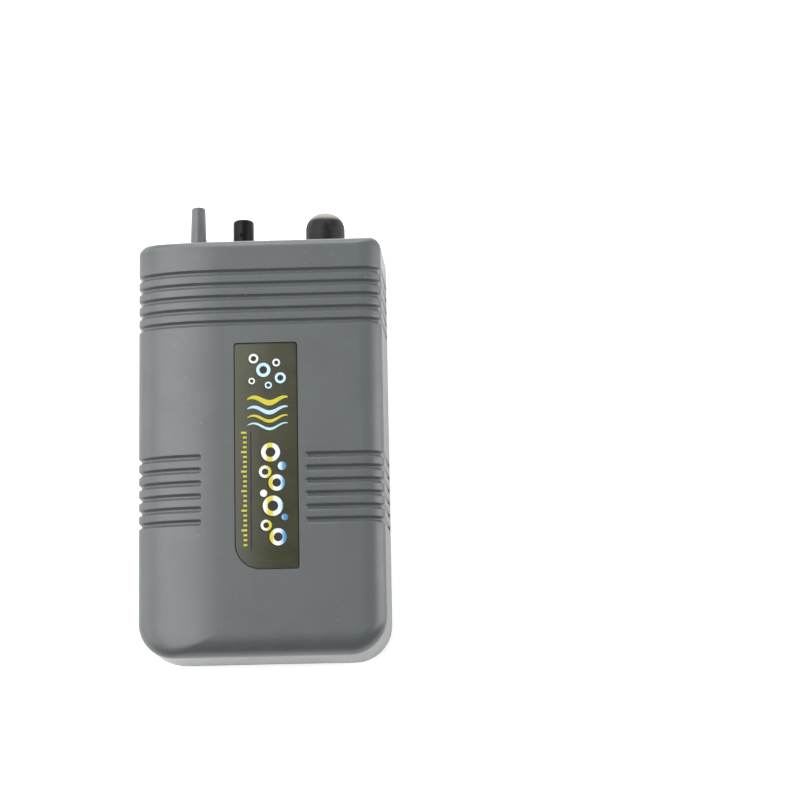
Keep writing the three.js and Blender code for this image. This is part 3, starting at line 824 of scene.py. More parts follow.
@dataclass
class CaseForm:
    """The outer form of the case, from the solids of the frame."""

    half_width: float
    top: float
    foot: float
    parting: float
    crest: float
    draft: float = 0.8
    wall: float = 2.0
    top_corner: float = 4.0
    foot_corner: float = 12.0
    top_steps: int = 14
    rolls: Mapping[str, Roll] = field(default_factory=lambda: {
        "right": Roll(8.0, 4.0), "top": Roll(3.5, 3.0), "left": Roll(27.0, 9.0), "foot": Roll(8.0, 6.0)})
    corners: tuple[Corner, ...] = (
        Corner(True, True, 0, "right", "top"),
        Corner(False, True, 90, "top", "left"),
        Corner(False, False, 180, "left", "foot"),
        Corner(True, False, 270, "foot", "right"),
    )

    @classmethod
    def from_frame(cls) -> "CaseForm":
        """Reads the case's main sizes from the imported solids.

        Returns:
            The form.
        """
        low, high = span("front_cover")
        overlap = 2.0
        parting = span("rear_cover")[1].z - overlap
        return cls(half_width=high.x, top=high.y, foot=low.y, parting=parting, crest=high.z)

    @property
    def flat_left(self) -> float:
        """Where the flat middle of the front ends at the left."""
        return self.rolls["left"].width - self.half_width

    def plan(self, inset: float, fine: int) -> list[PlanPoint]:
        """Points of the outline, moved inwards.

        Args:
            inset: Distance inwards.
            fine: Steps in a small corner. A large one gets twice as many.

        Returns:
            The points in order.
        """
        points = []
        edge = self.half_width - inset
        for corner in self.corners:
            radius = max((self.top_corner if corner.top else self.foot_corner) - inset, 0.6)
            steps = fine if corner.top else fine * 2
            falls = corner.leaves == "top"
            for step in range(self.top_steps if falls else 0):
                x = self.flat_left + (radius - edge - self.flat_left) * step / self.top_steps
                place = Vector((x, self.top - inset))
                drop = self.rolls["top"].drop + self.left_fall(x, edge)
                points.append(PlanPoint(place, Vector((0, 1)), self._core(place), drop))
            centre = Vector((
                (self.half_width - inset - radius) * (1 if corner.right else -1),
                self.top - inset - radius if corner.top else self.foot + inset + radius))
            for step in range(steps + 1):
                part = step / steps
                angle = math.radians(corner.start + 90 * part)
                outward = Vector((math.cos(angle), math.sin(angle)))
                place = centre + outward * radius
                ease = part * part * (3 - 2 * part)
                met = self.left_fall(place.x, edge) if falls else self.rolls[corner.meets].drop * ease
                drop = self.rolls[corner.leaves].drop * (1 - ease) + met
                points.append(PlanPoint(place, outward, self._core(place), drop))
        return points

    def left_fall(self, x: float, edge: float) -> float:
        """How far the left roll has fallen at a place along the top edge.

        Args:
            x: The place.
            edge: How far the outline reaches to the side.

        Returns:
            The fall below the crest.
        """
        across = min(max((self.flat_left - x) / (self.flat_left + edge), 0.0), 1.0)
        return self.rolls["left"].drop * (1 - math.sqrt(1 - across * across))

    def _core(self, place: Vector) -> Vector:
        """Nearest point of the flat middle of the front.

        Args:
            place: A point of the outline.

        Returns:
            The nearest point.
        """
        x = min(max(place.x, self.flat_left), self.half_width - self.rolls["right"].width)
        y = min(max(place.y, self.foot + self.rolls["foot"].width), self.top - self.rolls["top"].width)
        return Vector((x, y))

    def front_rings(self, inset: float, start: float, fine: int, roll_steps: int) -> list[list[Vector]]:
        """Rings from a height up the drafted wall and over the rolled front.

        Args:
            inset: Distance inwards from the outer skin.
            start: Height of the first ring.
            fine: Steps in a small corner.
            roll_steps: Rings over the roll.

        Returns:
            The rings.
        """
        plan = self.plan(inset, fine)
        crest = self.crest - inset

        def at(point: PlanPoint, z: float) -> Vector:
            """A point of the drafted wall.

            Args:
                point: The point of the outline below it.
                z: Its height.

            Returns:
                The point.
            """
            lean = self.draft * (z - self.parting) / (self.crest - self.parting)
            flat = point.place - point.outward * lean
            return Vector((flat.x, flat.y, z))

        tops = [crest - max(point.drop - inset, 0.6) for point in plan]
        rings = [[at(point, start) for point in plan]]
        if inset == 0:
            rings = [[at(point, start) - Vector((*point.outward, 0)) * 0.3 for point in plan],
                     [at(point, start + 0.3) for point in plan]]
        rings.append([at(point, top) for point, top in zip(plan, tops)])
        for step in range(1, roll_steps + 1):
            angle = step / roll_steps * QUARTER
            inward = 1 - math.cos(angle)
            ring = []
            for point, top in zip(plan, tops):
                edge = at(point, top)
                flat = edge.xy.lerp(point.core, inward)
                ring.append(Vector((flat.x, flat.y, crest - (crest - top) * (1 - math.sin(angle)))))
            rings.append(ring)
        return rings

    def rear_rings(self, profile: Profile, fine: int) -> list[list[Vector]]:
        """Rings of the rear half.

        Args:
            profile: Pairs of height and inset, from the back up.
            fine: Steps in a small corner.

        Returns:
            The rings.
        """
        return [[Vector((*point.place, z)) for point in self.plan(inset, fine)] for z, inset in profile]

    def rear_profile(self) -> list[tuple[float, float]]:
        """Heights and insets of the rear skin, with its edge rounded and a fine bevel at the parting line.

        Returns:
            The profile from the back up.
        """
        width, height, lean = 2.1, 2.4, 0.3
        steps = 7
        edge = []
        for step in range(steps + 1):
            angle = step / steps * QUARTER
            edge.append((height * (1 - math.cos(angle)), lean + width * (1 - math.sin(angle))))
        return [*edge, (self.parting - 0.3, 0.0), (self.parting, 0.3)]


def skin(rings: Sequence[Sequence[Vector]], close_first: bool = True, close_last: bool = True) -> Mesh:
    """Raises a skin ring by ring and closes its ends.

    Args:
        rings: Rings of the same number of points, in order.
        close_first: Whether the first ring is filled.
        close_last: Whether the last ring is filled.

    Returns:
        The skin, with doubled points merged.
    """
    mesh = bmesh.new()
    loop = [mesh.verts.new(point) for point in rings[0]]
    edges = [mesh.edges.new((a, b)) for a, b in zip(loop, loop[1:] + loop[:1])]
    first = list(edges)
    for ring in rings[1:]:
        made = bmesh.ops.extrude_edge_only(mesh, edges=edges)["geom"]
        fresh = {item for item in made if isinstance(item, bmesh.types.BMVert)}
        loop = [next(e.other_vert(v) for e in v.link_edges if e.other_vert(v) in fresh) for v in loop]
        for vert, point in zip(loop, ring):
            vert.co = point
        edges = [mesh.edges.get(pair) for pair in zip(loop, loop[1:] + loop[:1])]
    if close_first:
        bmesh.ops.edgeloop_fill(mesh, edges=first)
    if close_last:
        bmesh.ops.edgeloop_fill(mesh, edges=edges)
    return tidy(mesh)


# ---- front cover -------------------------------------------------------------------------------
@dataclass(frozen=True)
class GrooveGroup:
    """A stack of grip grooves, and the side that they run out over."""

    first: float
    count: int
    inner_end: Optional[float] = None
    outward: int = 0


@dataclass
class FrontCover:
    """The front cover, with its grip grooves pressed into the skin."""

    form: CaseForm
    half_groove: float = 1.1
    flat: float = 0.18
    depth: float = 0.95
    pitch: float = 4.0
    groups: tuple[GrooveGroup, ...] = (
        GrooveGroup(47.0, 5),
        GrooveGroup(-10.7, 6, -17.5, -1),
        GrooveGroup(-10.7, 6, 13.8, 1),
    )

    def sink(self, x: float, y: float) -> float:
        """Depth of the grooves at a place.

        Args:
            x: Across the case.
            y: Along the case.

        Returns:
            Depth below the plain skin.
        """
        deepest = 0.0
        for group in self.groups:
            last = group.first - self.pitch * (group.count - 1)
            nearest = min(max(round((group.first - y) / self.pitch), 0), group.count - 1)
            away = abs(y - (group.first - self.pitch * nearest))
            if y > group.first + self.pitch / 2 or y < last - self.pitch / 2:
                continue
            if group.inner_end is not None:
                past = (group.inner_end + group.outward * self.half_groove - x) * group.outward
                away = math.hypot(away, max(past, 0.0))
            share = min(max((away - self.flat) / (self.half_groove - self.flat), 0.0), 1.0)
            deepest = max(deepest, self.depth * 0.5 * (1 + math.cos(math.pi * share)))
        return deepest

    def cut_lines(self) -> Iterable[tuple[Vector, Vector]]:
        """Planes where the skin gets extra points, so that the grooves can sink.

        Yields:
            A point of the plane and its direction.
        """
        half = (0.2, 0.4, 0.6, 0.8, 1.0, 1.25, 1.5)
        across = (*(-offset for offset in reversed(half)), 0.0, *half)
        for group in (self.groups[0], self.groups[1]):
            for index in range(group.count):
                for offset in across:
                    yield Vector((0, group.first - self.pitch * index + offset, 0)), Vector((0, 1, 0))
        for group in self.groups[1:]:
            for offset in (-0.6, -0.3, -0.05, 0.2, 0.45, 0.75, 1.1):
                yield Vector((group.inner_end + group.outward * offset, 0, 0)), Vector((1, 0, 0))

    def shell(self) -> Mesh:
        """The grooved outer skin joined to a plain inner skin.

        Returns:
            The closed cover.
        """
        form = self.form
        mesh = skin(form.front_rings(0.0, form.parting, 10, 36), close_first=False)
        for place, direction in self.cut_lines():
            everything = mesh.verts[:] + mesh.edges[:] + mesh.faces[:]
            bmesh.ops.bisect_plane(mesh, geom=everything, plane_co=place, plane_no=direction, dist=0.0001)
        mesh.normal_update()
        sinking = [(vert, vert.normal.copy(), self.sink(vert.co.x, vert.co.y)) for vert in mesh.verts]
        for vert, normal, sink in sinking:
            low = vert.co.z < form.parting + 0.4
            way = Vector((normal.x, normal.y, 0)).normalized() if low else normal
            vert.co -= way * sink
        inner = skin(form.front_rings(form.wall, form.parting, 4, 8), close_first=False)
        bmesh.ops.reverse_faces(inner, faces=inner.faces)
        spare = bpy.data.meshes.new("inner_skin")
        inner.to_mesh(spare)
        inner.free()
        mesh.from_mesh(spare)
        bpy.data.meshes.remove(spare)
        rim_edges = [edge for edge in mesh.edges if edge.is_boundary]
        bmesh.ops.triangle_fill(mesh, edges=rim_edges, use_beauty=False, normal=(0, 0, -1))
        bmesh.ops.recalc_face_normals(mesh, faces=mesh.faces)
        return mesh

    def build(self, finisher: Finisher, label: "Label", fittings: "Fittings") -> None:
        """Makes the cover and the divider inside it.

        Args:
            finisher: Finishes the pieces.
            label: The label, which has a pocket in the cover.
            fittings: The fittings, which pass through the top wall.
        """
        inserts = [label.pocket(), *fittings.wall_holes(self.form)]
        cover = carve(self.shell(), inserts)
        finisher.piece("front_cover_skin", cover, finisher.looks.case, "front_cover", crease=38.0)
        plate_top = span("contact_plate_plus")[1].y
        reach, behind, thick = 35.6, 2.1, 2.0
        lowest = (-reach, plate_top - behind - thick, 3.0)
        wall = block(lowest, (reach, plate_top - behind, self.form.crest - 2.6), 0.25)
        slots = [block((x - 2, -4, 29.5), (x + 2, 4, 33.5)) for x in (-14, 14)]
        room = skin(self.form.front_rings(self.form.wall + 0.05, 2.0, 4, 8))
        divider = carve(carve(wall, slots), [room], Cut.KEEP)
        finisher.piece("bay_divider", divider, finisher.looks.case)


# ---- rear cover and door -----------------------------------------------------------------------
@dataclass
class RearCover:
    """The rear cover, with its screw wells, air slots and doorway."""

    form: CaseForm
    door_half: float = 30.0
    door_end: float = -4.5
    door_thick: float = 2.7
    door_lip: float = 8.0
    tongue: float = 2.0
    tongue_low: float = 1.5
    gap: float = 0.3
    well: float = 3.1
    seat: float = 8.7
    post: float = 3.9
    slot_half: float = 0.9
    grips: int = 6
    grip_pitch: float = 3.0

    def wells(self) -> list[Vector]:
        """Places of the four screw wells, from the screws of the frame.

        Returns:
            Their centres.
        """
        return [middle(f"case_screw_{number}") for number in range(1, 5)]

    def shell(self) -> Mesh:
        """The rear shell with its posts, wells, slots and doorway.

        Returns:
            The closed shell.
        """
        form = self.form
        outside = skin(form.rear_rings(form.rear_profile(), 10))
        inside = skin(form.rear_rings([(form.wall, 3.2), (3.0, 2.5), (form.parting + 1, form.wall)], 5))
        shell = carve(outside, [inside])
        foot, head = form.wall - 0.5, form.parting - self.gap
        posts = [rod(Axis.Z, (well.x, well.y, 0), foot, head, self.post) for well in self.wells()]
        shell = carve(shell, posts, Cut.JOIN)
        half, end = self.door_half + self.gap, self.door_end + self.gap
        track = half + self.tongue
        tools = [
            block((-half, -BEYOND, -1), (half, end, self.door_lip + self.gap)),
            block((-track, -BEYOND, self.tongue_low - self.gap), (track, end, self.door_thick + self.gap)),
        ]
        for place in self.wells():
            centre = (place.x, place.y, 0)
            lead = [(0.0, -1.0), (self.well + 0.9, -1.0), (self.well + 0.35, 0.0), (self.well, 0.4),
                    (self.well, self.seat), (0.0, self.seat)]
            tools.append(turn(Axis.Z, centre, lead, 40))
        y = middle("inlet_filter").y
        for x in (-10, -5, 0, 5, 10):
            high = (x + self.slot_half, y + 8, form.wall + 1)
            tools.append(block((x - self.slot_half, y - 8, -1), high, 0.5))
        return carve(shell, tools)

    def door(self) -> Mesh:
        """The sliding door with its end wall, tongues and thumb grips.

        Returns:
            The closed door.
        """
        form = self.form
        half = self.door_half
        plate = block((-half, -BEYOND, -1), (half, self.door_end, self.door_thick))
        lip = block((-half, -BEYOND, 0), (half, -60, self.door_lip))
        body = carve(plate, [lip], Cut.JOIN)
        body = carve(body, [skin(form.rear_rings(form.rear_profile(), 10))], Cut.KEEP)
        inside = skin(form.rear_rings([(self.door_thick, 2.5), (form.parting, form.wall)], 5))
        body = carve(body, [inside])
        spans = ((half - 1, half + self.tongue), (-half - self.tongue, 1 - half))
        tongues = [block((low, -63, self.tongue_low), (high, self.door_end, self.door_thick), 0.3)
                   for low, high in spans]
        body = carve(body, tongues, Cut.JOIN)
        grips = []
        for index in range(self.grips):
            place = (0, -63.2 + index * self.grip_pitch, -0.35)
            reach = 11.0 - abs(index - (self.grips - 1) / 2) * 1.1
            grips.append(rod(Axis.X, place, -reach, reach, 1.05, 24, 0.6))
        return carve(body, grips)

    def build(self, finisher: Finisher) -> None:
        """Makes the rear cover and the door.

        Args:
            finisher: Finishes the pieces.
        """
        finisher.piece("rear_cover_shell", self.shell(), finisher.looks.case, "rear_cover")
        finisher.piece("battery_door_panel", self.door(), finisher.looks.case, "battery_door", "door")


# ---- label -------------------------------------------------------------------------------------
@dataclass(frozen=True)
class Bubble:
    """A printed round bubble."""

    x: float
    y: float
    radius: float


@dataclass
class Label:
    """The recessed label plate and its generic print: bubbles, a wave and a scale of ticks."""

    left: float
    right: float
    low: float
    high: float
    face: float
    pocket_floor: float
    small: float = 1.0
    big: float = 8.0
    ink: float = 0.06
    bubbles: tuple[Bubble, ...] = (
        Bubble(3.4, -9.6, 2.9), Bubble(6.9, -13.9, 1.3), Bubble(1.7, -15.6, 1.9), Bubble(5.2, -19.0, 2.5),
        Bubble(1.2, -22.2, 1.1), Bubble(4.0, -26.1, 3.1), Bubble(7.6, -29.6, 1.0), Bubble(1.9, -32.0, 1.7),
        Bubble(5.5, -35.6, 2.6),
    )
    spray: tuple[Bubble, ...] = (
        Bubble(-1.6, 19.6, 1.5), Bubble(1.4, 16.0, 2.2), Bubble(5.4, 18.2, 1.2), Bubble(6.6, 13.4, 1.7),
        Bubble(-2.2, 12.6, 1.0), Bubble(2.9, 11.2, 1.1),
    )

    @classmethod
    def from_frame(cls, form: CaseForm) -> "Label":
        """Reads the plate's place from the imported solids.

        Args:
            form: The case form.

        Returns:
            The label.
        """
        low, high = span("label_plate")
        edge = 0.15
        return cls(low.x - edge, high.x + edge, low.y - edge, high.y + edge, high.z, form.crest - 1.0)

    def outline_solid(self, grow: float, low: float, thick: float, ease: float = 0.0,
                      flare: float = 0.0) -> Mesh:
        """A slab with the label's outline, one foot corner of which is large.

        Args:
            grow: Distance outwards from the pocket's outline.
            low: Height of its underside.
            thick: Its thickness.
            ease: Rounding of its upper edge.
            flare: How much narrower its underside is.

        Returns:
            The closed slab.
        """
        corners = [
            (self.right + grow, self.low - grow, self.small, -90, -1, 1),
            (self.right + grow, self.high + grow, self.small, 0, -1, -1),
            (self.left - grow, self.high + grow, self.small, 90, 1, -1),
            (self.left - grow, self.low - grow, self.big, 180, 1, 1),
        ]
        ring = []
        for x, y, radius, start, sx, sy in corners:
            radius += grow
            steps = 8 if radius < 4 else 24
            for step in range(steps + 1):
                angle = math.radians(start + 90 * step / steps)
                ring.append((x + radius * (sx + math.cos(angle)), y + radius * (sy + math.sin(angle))))
        middle = Vector(((self.left + self.right) / 2, (self.low + self.high) / 2))
        levels = [(flare, low), (0.0, low + thick - ease)]
        if ease:
            levels += [(ease * 0.3, low + thick - ease * 0.3), (ease, low + thick)]
        rings = []
        for inset, z in levels:
            shrink = 1 - inset / ((self.right - self.left) / 2)
            stretch = 1 - inset / ((self.high - self.low) / 2)
            rings.append([
                Vector((middle.x + (x - middle.x) * shrink, middle.y + (y - middle.y) * stretch, z))
                for x, y in ring])
        return skin(rings)

    def pocket(self) -> Mesh:
        """The solid that cuts the label's pocket, flared so that the pocket gets an eased edge.

        Returns:
            The closed solid.
        """
        straight = self.outline_solid(0.0, self.pocket_floor, 3.0)
        flare = self.outline_solid(0.4, self.pocket_floor + 0.65, 0.75, 0.0, 0.75)
        return carve(straight, [flare], Cut.JOIN)

    def _disc(self, mesh: Mesh, bubble: Bubble, shift: tuple[float, float]) -> None:
        """Adds a thin printed disc.

        Args:
            mesh: The print that it joins.
            bubble: Its place and size.
            shift: Offset of the print across and along the label.
        """
        place = Matrix.Translation((bubble.x + shift[0], bubble.y + shift[1], self.face))
        bmesh.ops.create_cone(mesh, cap_ends=True, segments=40, radius1=bubble.radius,
                              radius2=bubble.radius, depth=self.ink, matrix=place)

    def _ring(self, bubble: Bubble, hollow: float, lift: float) -> Mesh:
        """A printed ring.

        Args:
            bubble: Its place and outer size.
            hollow: Inner radius as a share of the outer.
            lift: Height above the face.

        Returns:
            The closed ring.
        """
        outer, inner = bubble.radius, bubble.radius * hollow
        profile = [(inner, 0.0), (outer, 0.0), (outer, self.ink), (inner, self.ink), (inner, 0.0)]
        return turn(Axis.Z, (bubble.x, bubble.y, self.face + lift), profile, 48)

    def _wave(self, y: float, rise: float, thick: float, lift: float) -> Mesh:
        """A printed wave across the label.

        Args:
            y: Height of its middle line.
            rise: How far it swings.
            thick: Its width at the middle.
            lift: Height above the face.

        Returns:
            The closed ribbon.
        """
        steps = 40
        start, end = -3.6, 8.8
        upper, lower = [], []
        for step in range(steps + 1):
            part = step / steps
            x = start + (end - start) * part
            line = y + rise * math.sin(part * 2 * math.pi * 1.25 + 0.4)
            half = thick / 2 * math.sin(math.pi * (0.04 + 0.92 * part)) ** 0.7
            upper.append(Vector((x, line + half, self.face + lift)))
            lower.append(Vector((x, line - half, self.face + lift)))
        ring = lower + upper[::-1]
        return skin([ring, [point + Vector((0, 0, self.ink)) for point in ring]])

    def build(self, finisher: Finisher) -> None:
        """Makes the plate and its print.

        Args:
            finisher: Finishes the pieces.
        """
        plate_low = span("label_plate")[0].z
        plate = self.outline_solid(-0.15, plate_low, self.face - plate_low, 0.15)
        finisher.piece("label_film", plate, finisher.looks.film, "label_plate", crease=50.0)
        banded = BandedInk("banded_ink", "label_film", (
            (0.0, tone(214, 214, 206)), (0.26, tone(214, 214, 206)), (0.34, tone(196, 184, 60)),
            (0.48, tone(196, 184, 60)), (0.56, tone(224, 226, 224)), (0.74, tone(196, 214, 226)),
            (0.86, tone(70, 130, 176)), (1.0, tone(50, 104, 150))), -0.6, 8.6)
        shadow_print = bmesh.new()
        for group, shift in ((self.bubbles, (-0.45, -0.35)), (self.spray, (-0.3, -0.3))):
            for bubble in group:
                self._disc(shadow_print, bubble, shift)
        finisher.piece("label_shadow_print", shadow_print, finisher.looks.shadow)
        above = self.ink / 2 + 0.01
        for index, bubble in enumerate(self.bubbles):
            hollow = 0.52 if bubble.radius > 1.5 else 0.02
            finisher.piece(f"label_bubble_{index + 1}", self._ring(bubble, hollow, above), banded)
        for index, bubble in enumerate(self.spray):
            look = finisher.looks.pale if index % 2 else banded
            finisher.piece(f"label_spray_{index + 1}", self._ring(bubble, 0.55, above), look)
        waves = ((6.6, 1.7), (3.6, 1.3), (0.9, 1.0), (-1.5, 0.8))
        for index, (y, thick) in enumerate(waves):
            look = finisher.looks.pale if index % 2 else finisher.looks.yellow
            finisher.piece(f"label_wave_{index + 1}", self._wave(y, 0.9, thick, 0.03), look)
        line = block((-2.85, -39.6, self.face - 0.02), (-2.45, -3.2, self.face + 0.05))
        finisher.piece("label_rule_print", line, finisher.looks.shadow)
        ticks = bmesh.new()
        count, first, pitch = 24, -3.4, 1.5
        for index in range(count):
            y = first - index * pitch
            long = 1.7 if index % 4 == 0 else 1.1
            place = Matrix.Translation((-3.9 - long / 2, y, self.face + 0.02))
            bmesh.ops.create_cube(ticks, size=1.0, matrix=place @ Matrix.Diagonal((long, 0.62, 0.07, 1)))
        finisher.piece("label_tick_print", ticks, finisher.looks.yellow)


# ---- fittings ----------------------------------------------------------------------------------
@dataclass
class Fittings:
    """The air nozzle with the pump head behind it, the bleed knob and the domed button."""

    nozzle_x: float
    knob_x: float
    button_x: float
    axis_z: float
    nozzle_base: float = 2.65
    nozzle_tip: float = 2.25
    knob_radius: float = 3.3
    button_radius: float = 6.2
    stem: float = 1.5
    gap: float = 0.3

    @classmethod
    def from_frame(cls) -> "Fittings":
        """Reads the fittings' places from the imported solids.

        Returns:
            The fittings.
        """
        diaphragm, knob, button = middle("diaphragm"), middle("bleed_knob"), middle("power_button")
        return cls(diaphragm.x, knob.x, button.x, button.z)

    def wall_holes(self, form: CaseForm) -> list[Mesh]:
        """The holes of the three fittings in the case's top wall.

        Args:
            form: The case form.

        Returns:
            The solids to cut away.
        """
        holes = []
        level, ease = form.top - form.draft * 0.4, 0.6
        passing = ((self.nozzle_x, self.nozzle_base), (self.knob_x, self.stem),
                   (self.button_x, self.button_radius))
        for x, radius in passing:
            outer = radius + self.gap
            profile = [(0.0, level - 4), (outer, level - 4), (outer, level - 0.35),
                       (outer + ease, level + 0.3), (outer + ease, level + 3), (0.0, level + 3)]
            holes.append(turn(Axis.Y, (x, 0, self.axis_z), profile, 64))
        return holes

    def head(self) -> Mesh:
        """The pump head block with its tapered nozzle and air bore.

        Returns:
            The closed head.
        """
        low, high = span("pump_head")
        x, z, base, end, tip = self.nozzle_x, self.axis_z, self.nozzle_base, self.nozzle_tip, high.y
        shoulder, top = 49.0, 54.5
        lower = block((low.x, low.y, low.z), (high.x, shoulder, high.z), 0.6, 3)
        upper = block((x - 8.5, shoulder - 0.6, z - 8), (high.x, top, z + 8), 0.5, 3)
        taper = [(0.0, top - 0.5), (base, top - 0.5), (base, 59.0), (end, tip - 0.8),
                 (end - 0.08, tip - 0.35), (end - 0.35, tip - 0.08), (end - 0.6, tip), (0.0, tip)]
        body = carve(lower, [upper, turn(Axis.Y, (x, 0, z), taper, 64)], Cut.JOIN)
        hole, floor = 1.2, 47.0
        mouth = [(0.0, floor), (hole, floor), (hole, tip - 0.4), (1.45, tip + 0.5), (0.0, tip + 0.5)]
        bore = turn(Axis.Y, (x, 0, z), mouth, 40)
        stem = rod(Axis.Y, (self.knob_x, 0, z), 50.6, 56.0, self.stem + self.gap, 32)
        sides = ((x - 7.5, x - 0.6), (x + 0.6, x + 7.5))
        chambers = [block((start, low.y - 1, z - 4), (stop, floor + 0.5, z + 4)) for start, stop in sides]
        return carve(body, [bore, stem, *chambers])

    def knob(self) -> Mesh:
        """The small round knob with its crowned end, its side mark and its stem bore.

        Returns:
            The closed knob.
        """
        low, high = span("bleed_knob")
        radius = self.knob_radius
        profile = [(0.0, low.y), (radius - 0.25, low.y), (radius - 0.08, low.y + 0.08),
                   (radius, low.y + 0.3)]
        crown_steps = 8
        for step in range(crown_steps + 1):
            angle = step / crown_steps * QUARTER
            profile.append((radius - 0.9 * (1 - math.cos(angle)), high.y - 1.05 + 0.85 * math.sin(angle)))
        profile += [(radius - 1.6, high.y - 0.08), (0.0, high.y)]
        body = turn(Axis.Y, (self.knob_x, 0, self.axis_z), profile, 72)
        bore = rod(Axis.Y, (self.knob_x, 0, self.axis_z), low.y - 1, high.y - 3, 1.8, 32)
        mark = rod(Axis.Z, (self.knob_x - 0.3, high.y - 5.6, 0), self.axis_z + radius - 0.5,
                   self.axis_z + radius + 1, 0.62, 24)
        return carve(body, [bore, mark])

    def button(self) -> Mesh:
        """The hollow domed button with its retaining flange.

        Returns:
            The closed button.
        """
        low, high = span("power_button")
        radius, flange = self.button_radius, high.x - self.button_x
        shoulder = high.y - 5.6
        profile = [(0.0, low.y), (flange - 0.2, low.y), (flange, low.y + 0.2), (flange, low.y + 1.3),
                   (flange - 0.2, low.y + 1.5), (radius + 0.3, low.y + 1.5), (radius, low.y + 1.8)]
        steps = 20
        for step in range(steps + 1):
            angle = step / steps * QUARTER
            reach = radius * max(math.cos(angle), 0.0) ** 0.88
            profile.append((reach, shoulder + (high.y - shoulder) * math.sin(angle)))
        profile[-1] = (0.0, high.y)
        body = turn(Axis.Y, (self.button_x, 0, self.axis_z), profile, 80)
        hollow = rod(Axis.Y, (self.button_x, 0, self.axis_z), low.y - 1, 62.0, 4.5, 48)
        return carve(body, [hollow])

    def build(self, finisher: Finisher) -> None:
        """Makes the fittings.

        Args:
            finisher: Finishes the pieces.
        """
        finisher.piece("pump_head_nozzle", self.head(), finisher.looks.case, "pump_head")
        finisher.piece("bleed_knob_cap", self.knob(), finisher.looks.black, "bleed_knob", "knob")
        finisher.piece("power_button_dome", self.button(), finisher.looks.rubber, "power_button", "button")


# ---- works inside ------------------------------------------------------------------------------
def numbered(stem: str, count: int) -> list[str]:
    """Names that end in 1 to count."""
    return [f"{stem}_{number}" for number in range(1, count + 1)]


@dataclass
class Works:
    """The cells, contacts, drive, pump parts and wires, most of which keep the frame's own shape."""

    dressed: Mapping[str, tuple[str, ...]] = field(default_factory=lambda: {
        "steel": (
            *numbered("case_screw", 4), *numbered("chassis_screw", 2), *numbered("strap_screw", 2),
            *numbered("head_screw", 4), "contact_plate_plus", "contact_plate_minus", "contact_spring_minus",
            "contact_link_plate", "contact_link_spring", "motor_strap", "motor_shaft"),
        "brass": (
            *numbered("motor_terminal", 2), *numbered("switch_terminal", 2), "crank_disc", "bleed_stem"),
        "inner": ("chassis", "motor_end_cap", "connecting_rod", "valve_plate", "switch_plunger"),
        "rubber": ("diaphragm", "inlet_flap", "outlet_flap", "bleed_seal"),
        "can": ("motor_can",),
        "black": ("switch_body",),
        "red": ("wire_cell_to_switch", "wire_switch_to_motor"),
        "dark": ("wire_motor_to_cell",),
        "foam": ("inlet_filter",),
    })
    wire_radius: float = 0.35
    press: float = 2.0
    turns: int = 5

    def spring(self, finisher: Finisher) -> None:
        """The button's return spring, a coil with a mesh of its own.

        Args:
            finisher: Finishes the pieces.
        """
        low, high = span("switch_spring")
        heart = middle("switch_spring")
        radius = (high.x - low.x) / 2 - self.wire_radius
        foot, length = low.y + self.wire_radius, high.y - low.y - 2 * self.wire_radius
        rise = length / self.turns
        steps, sides = self.turns * 28, 12
        rings = []
        for step in range(steps + 1):
            angle = math.tau * self.turns * step / steps
            radial = Vector((math.cos(angle), 0, math.sin(angle)))
            along = Vector((-math.sin(angle) * math.tau * radius, rise, math.cos(angle) * math.tau * radius))
            across = along.normalized().cross(radial)
            centre = Vector((heart.x, foot + length * step / steps, heart.z)) + radial * radius
            rings.append([centre + (radial * math.cos(turned) + across * math.sin(turned)) * self.wire_radius
                          for turned in (math.tau * side / sides for side in range(sides))])
        coil = finisher.piece("switch_spring_coil", skin(rings), finisher.looks.steel, "switch_spring")
        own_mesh(coil)

    def cell(self, name: str) -> Mesh:
        """A size D cell with rolled rims and its positive cap.

        Args:
            name: The cell's node.

        Returns:
            The closed cell.
        """
        low, high = span(name)
        radius = (high.x - low.x) / 2
        centre = ((low.x + high.x) / 2, 0, (low.z + high.z) / 2)
        length = high.y - low.y
        rims = ((3.4, 0.5), (2.6, 0.15), (1.6, 0.0), (0.5, 0.25), (0.05, 0.9), (0.0, 1.6))
        shoulder = ((0.0, 3.2), (0.1, 2.4), (0.6, 1.75), (1.6, 1.6), (2.4, 1.9), (3.2, 2.2))
        cap = [(5.4, 2.2), (4.9, 1.6), (4.7, 0.4), (4.3, 0.0), (0.0, 0.0)]
        outline = [(0.0, 0.5), *((radius - inset, rise) for inset, rise in rims)]
        outline += [(radius - inset, length - fall) for inset, fall in shoulder]
        outline += [(reach, length - fall) for reach, fall in cap]
        if name.endswith("left"):
            profile = [(r, low.y + a) for r, a in outline]
        else:
            profile = [(r, high.y - a) for r, a in reversed(outline)]
        return turn(Axis.Y, centre, profile, 72)

    def build(self, finisher: Finisher) -> None:
        """Makes the cells and dresses the rest.

        Args:
            finisher: Finishes the pieces.
        """
        left_top, right_foot = span("battery_cell_left")[1].y, span("battery_cell_right")[0].y
        dark, copper, band = tone(30, 34, 44), tone(196, 128, 74), 16.0
        jackets = {
            "battery_cell_left": (dark, copper, left_top - band),
            "battery_cell_right": (copper, dark, right_foot + band),
        }
        for name, (body, end, edge) in jackets.items():
            jacket = CellJacket(name.replace("battery_cell", "cell_jacket"), "cell_jacket", body, end, edge)
            finisher.piece(f"{name}_body", self.cell(name), jacket, name)
        self.spring(finisher)
        for look, nodes in self.dressed.items():
            finisher.dress(nodes, getattr(finisher.looks, look))


# ---- studio ------------------------------------------------------------------------------------
@dataclass(frozen=True)
class Softbox:
    """A large soft light that faces a point."""

    name: str
    place: Point
    aim: Point
    size: tuple[float, float]
    power: float


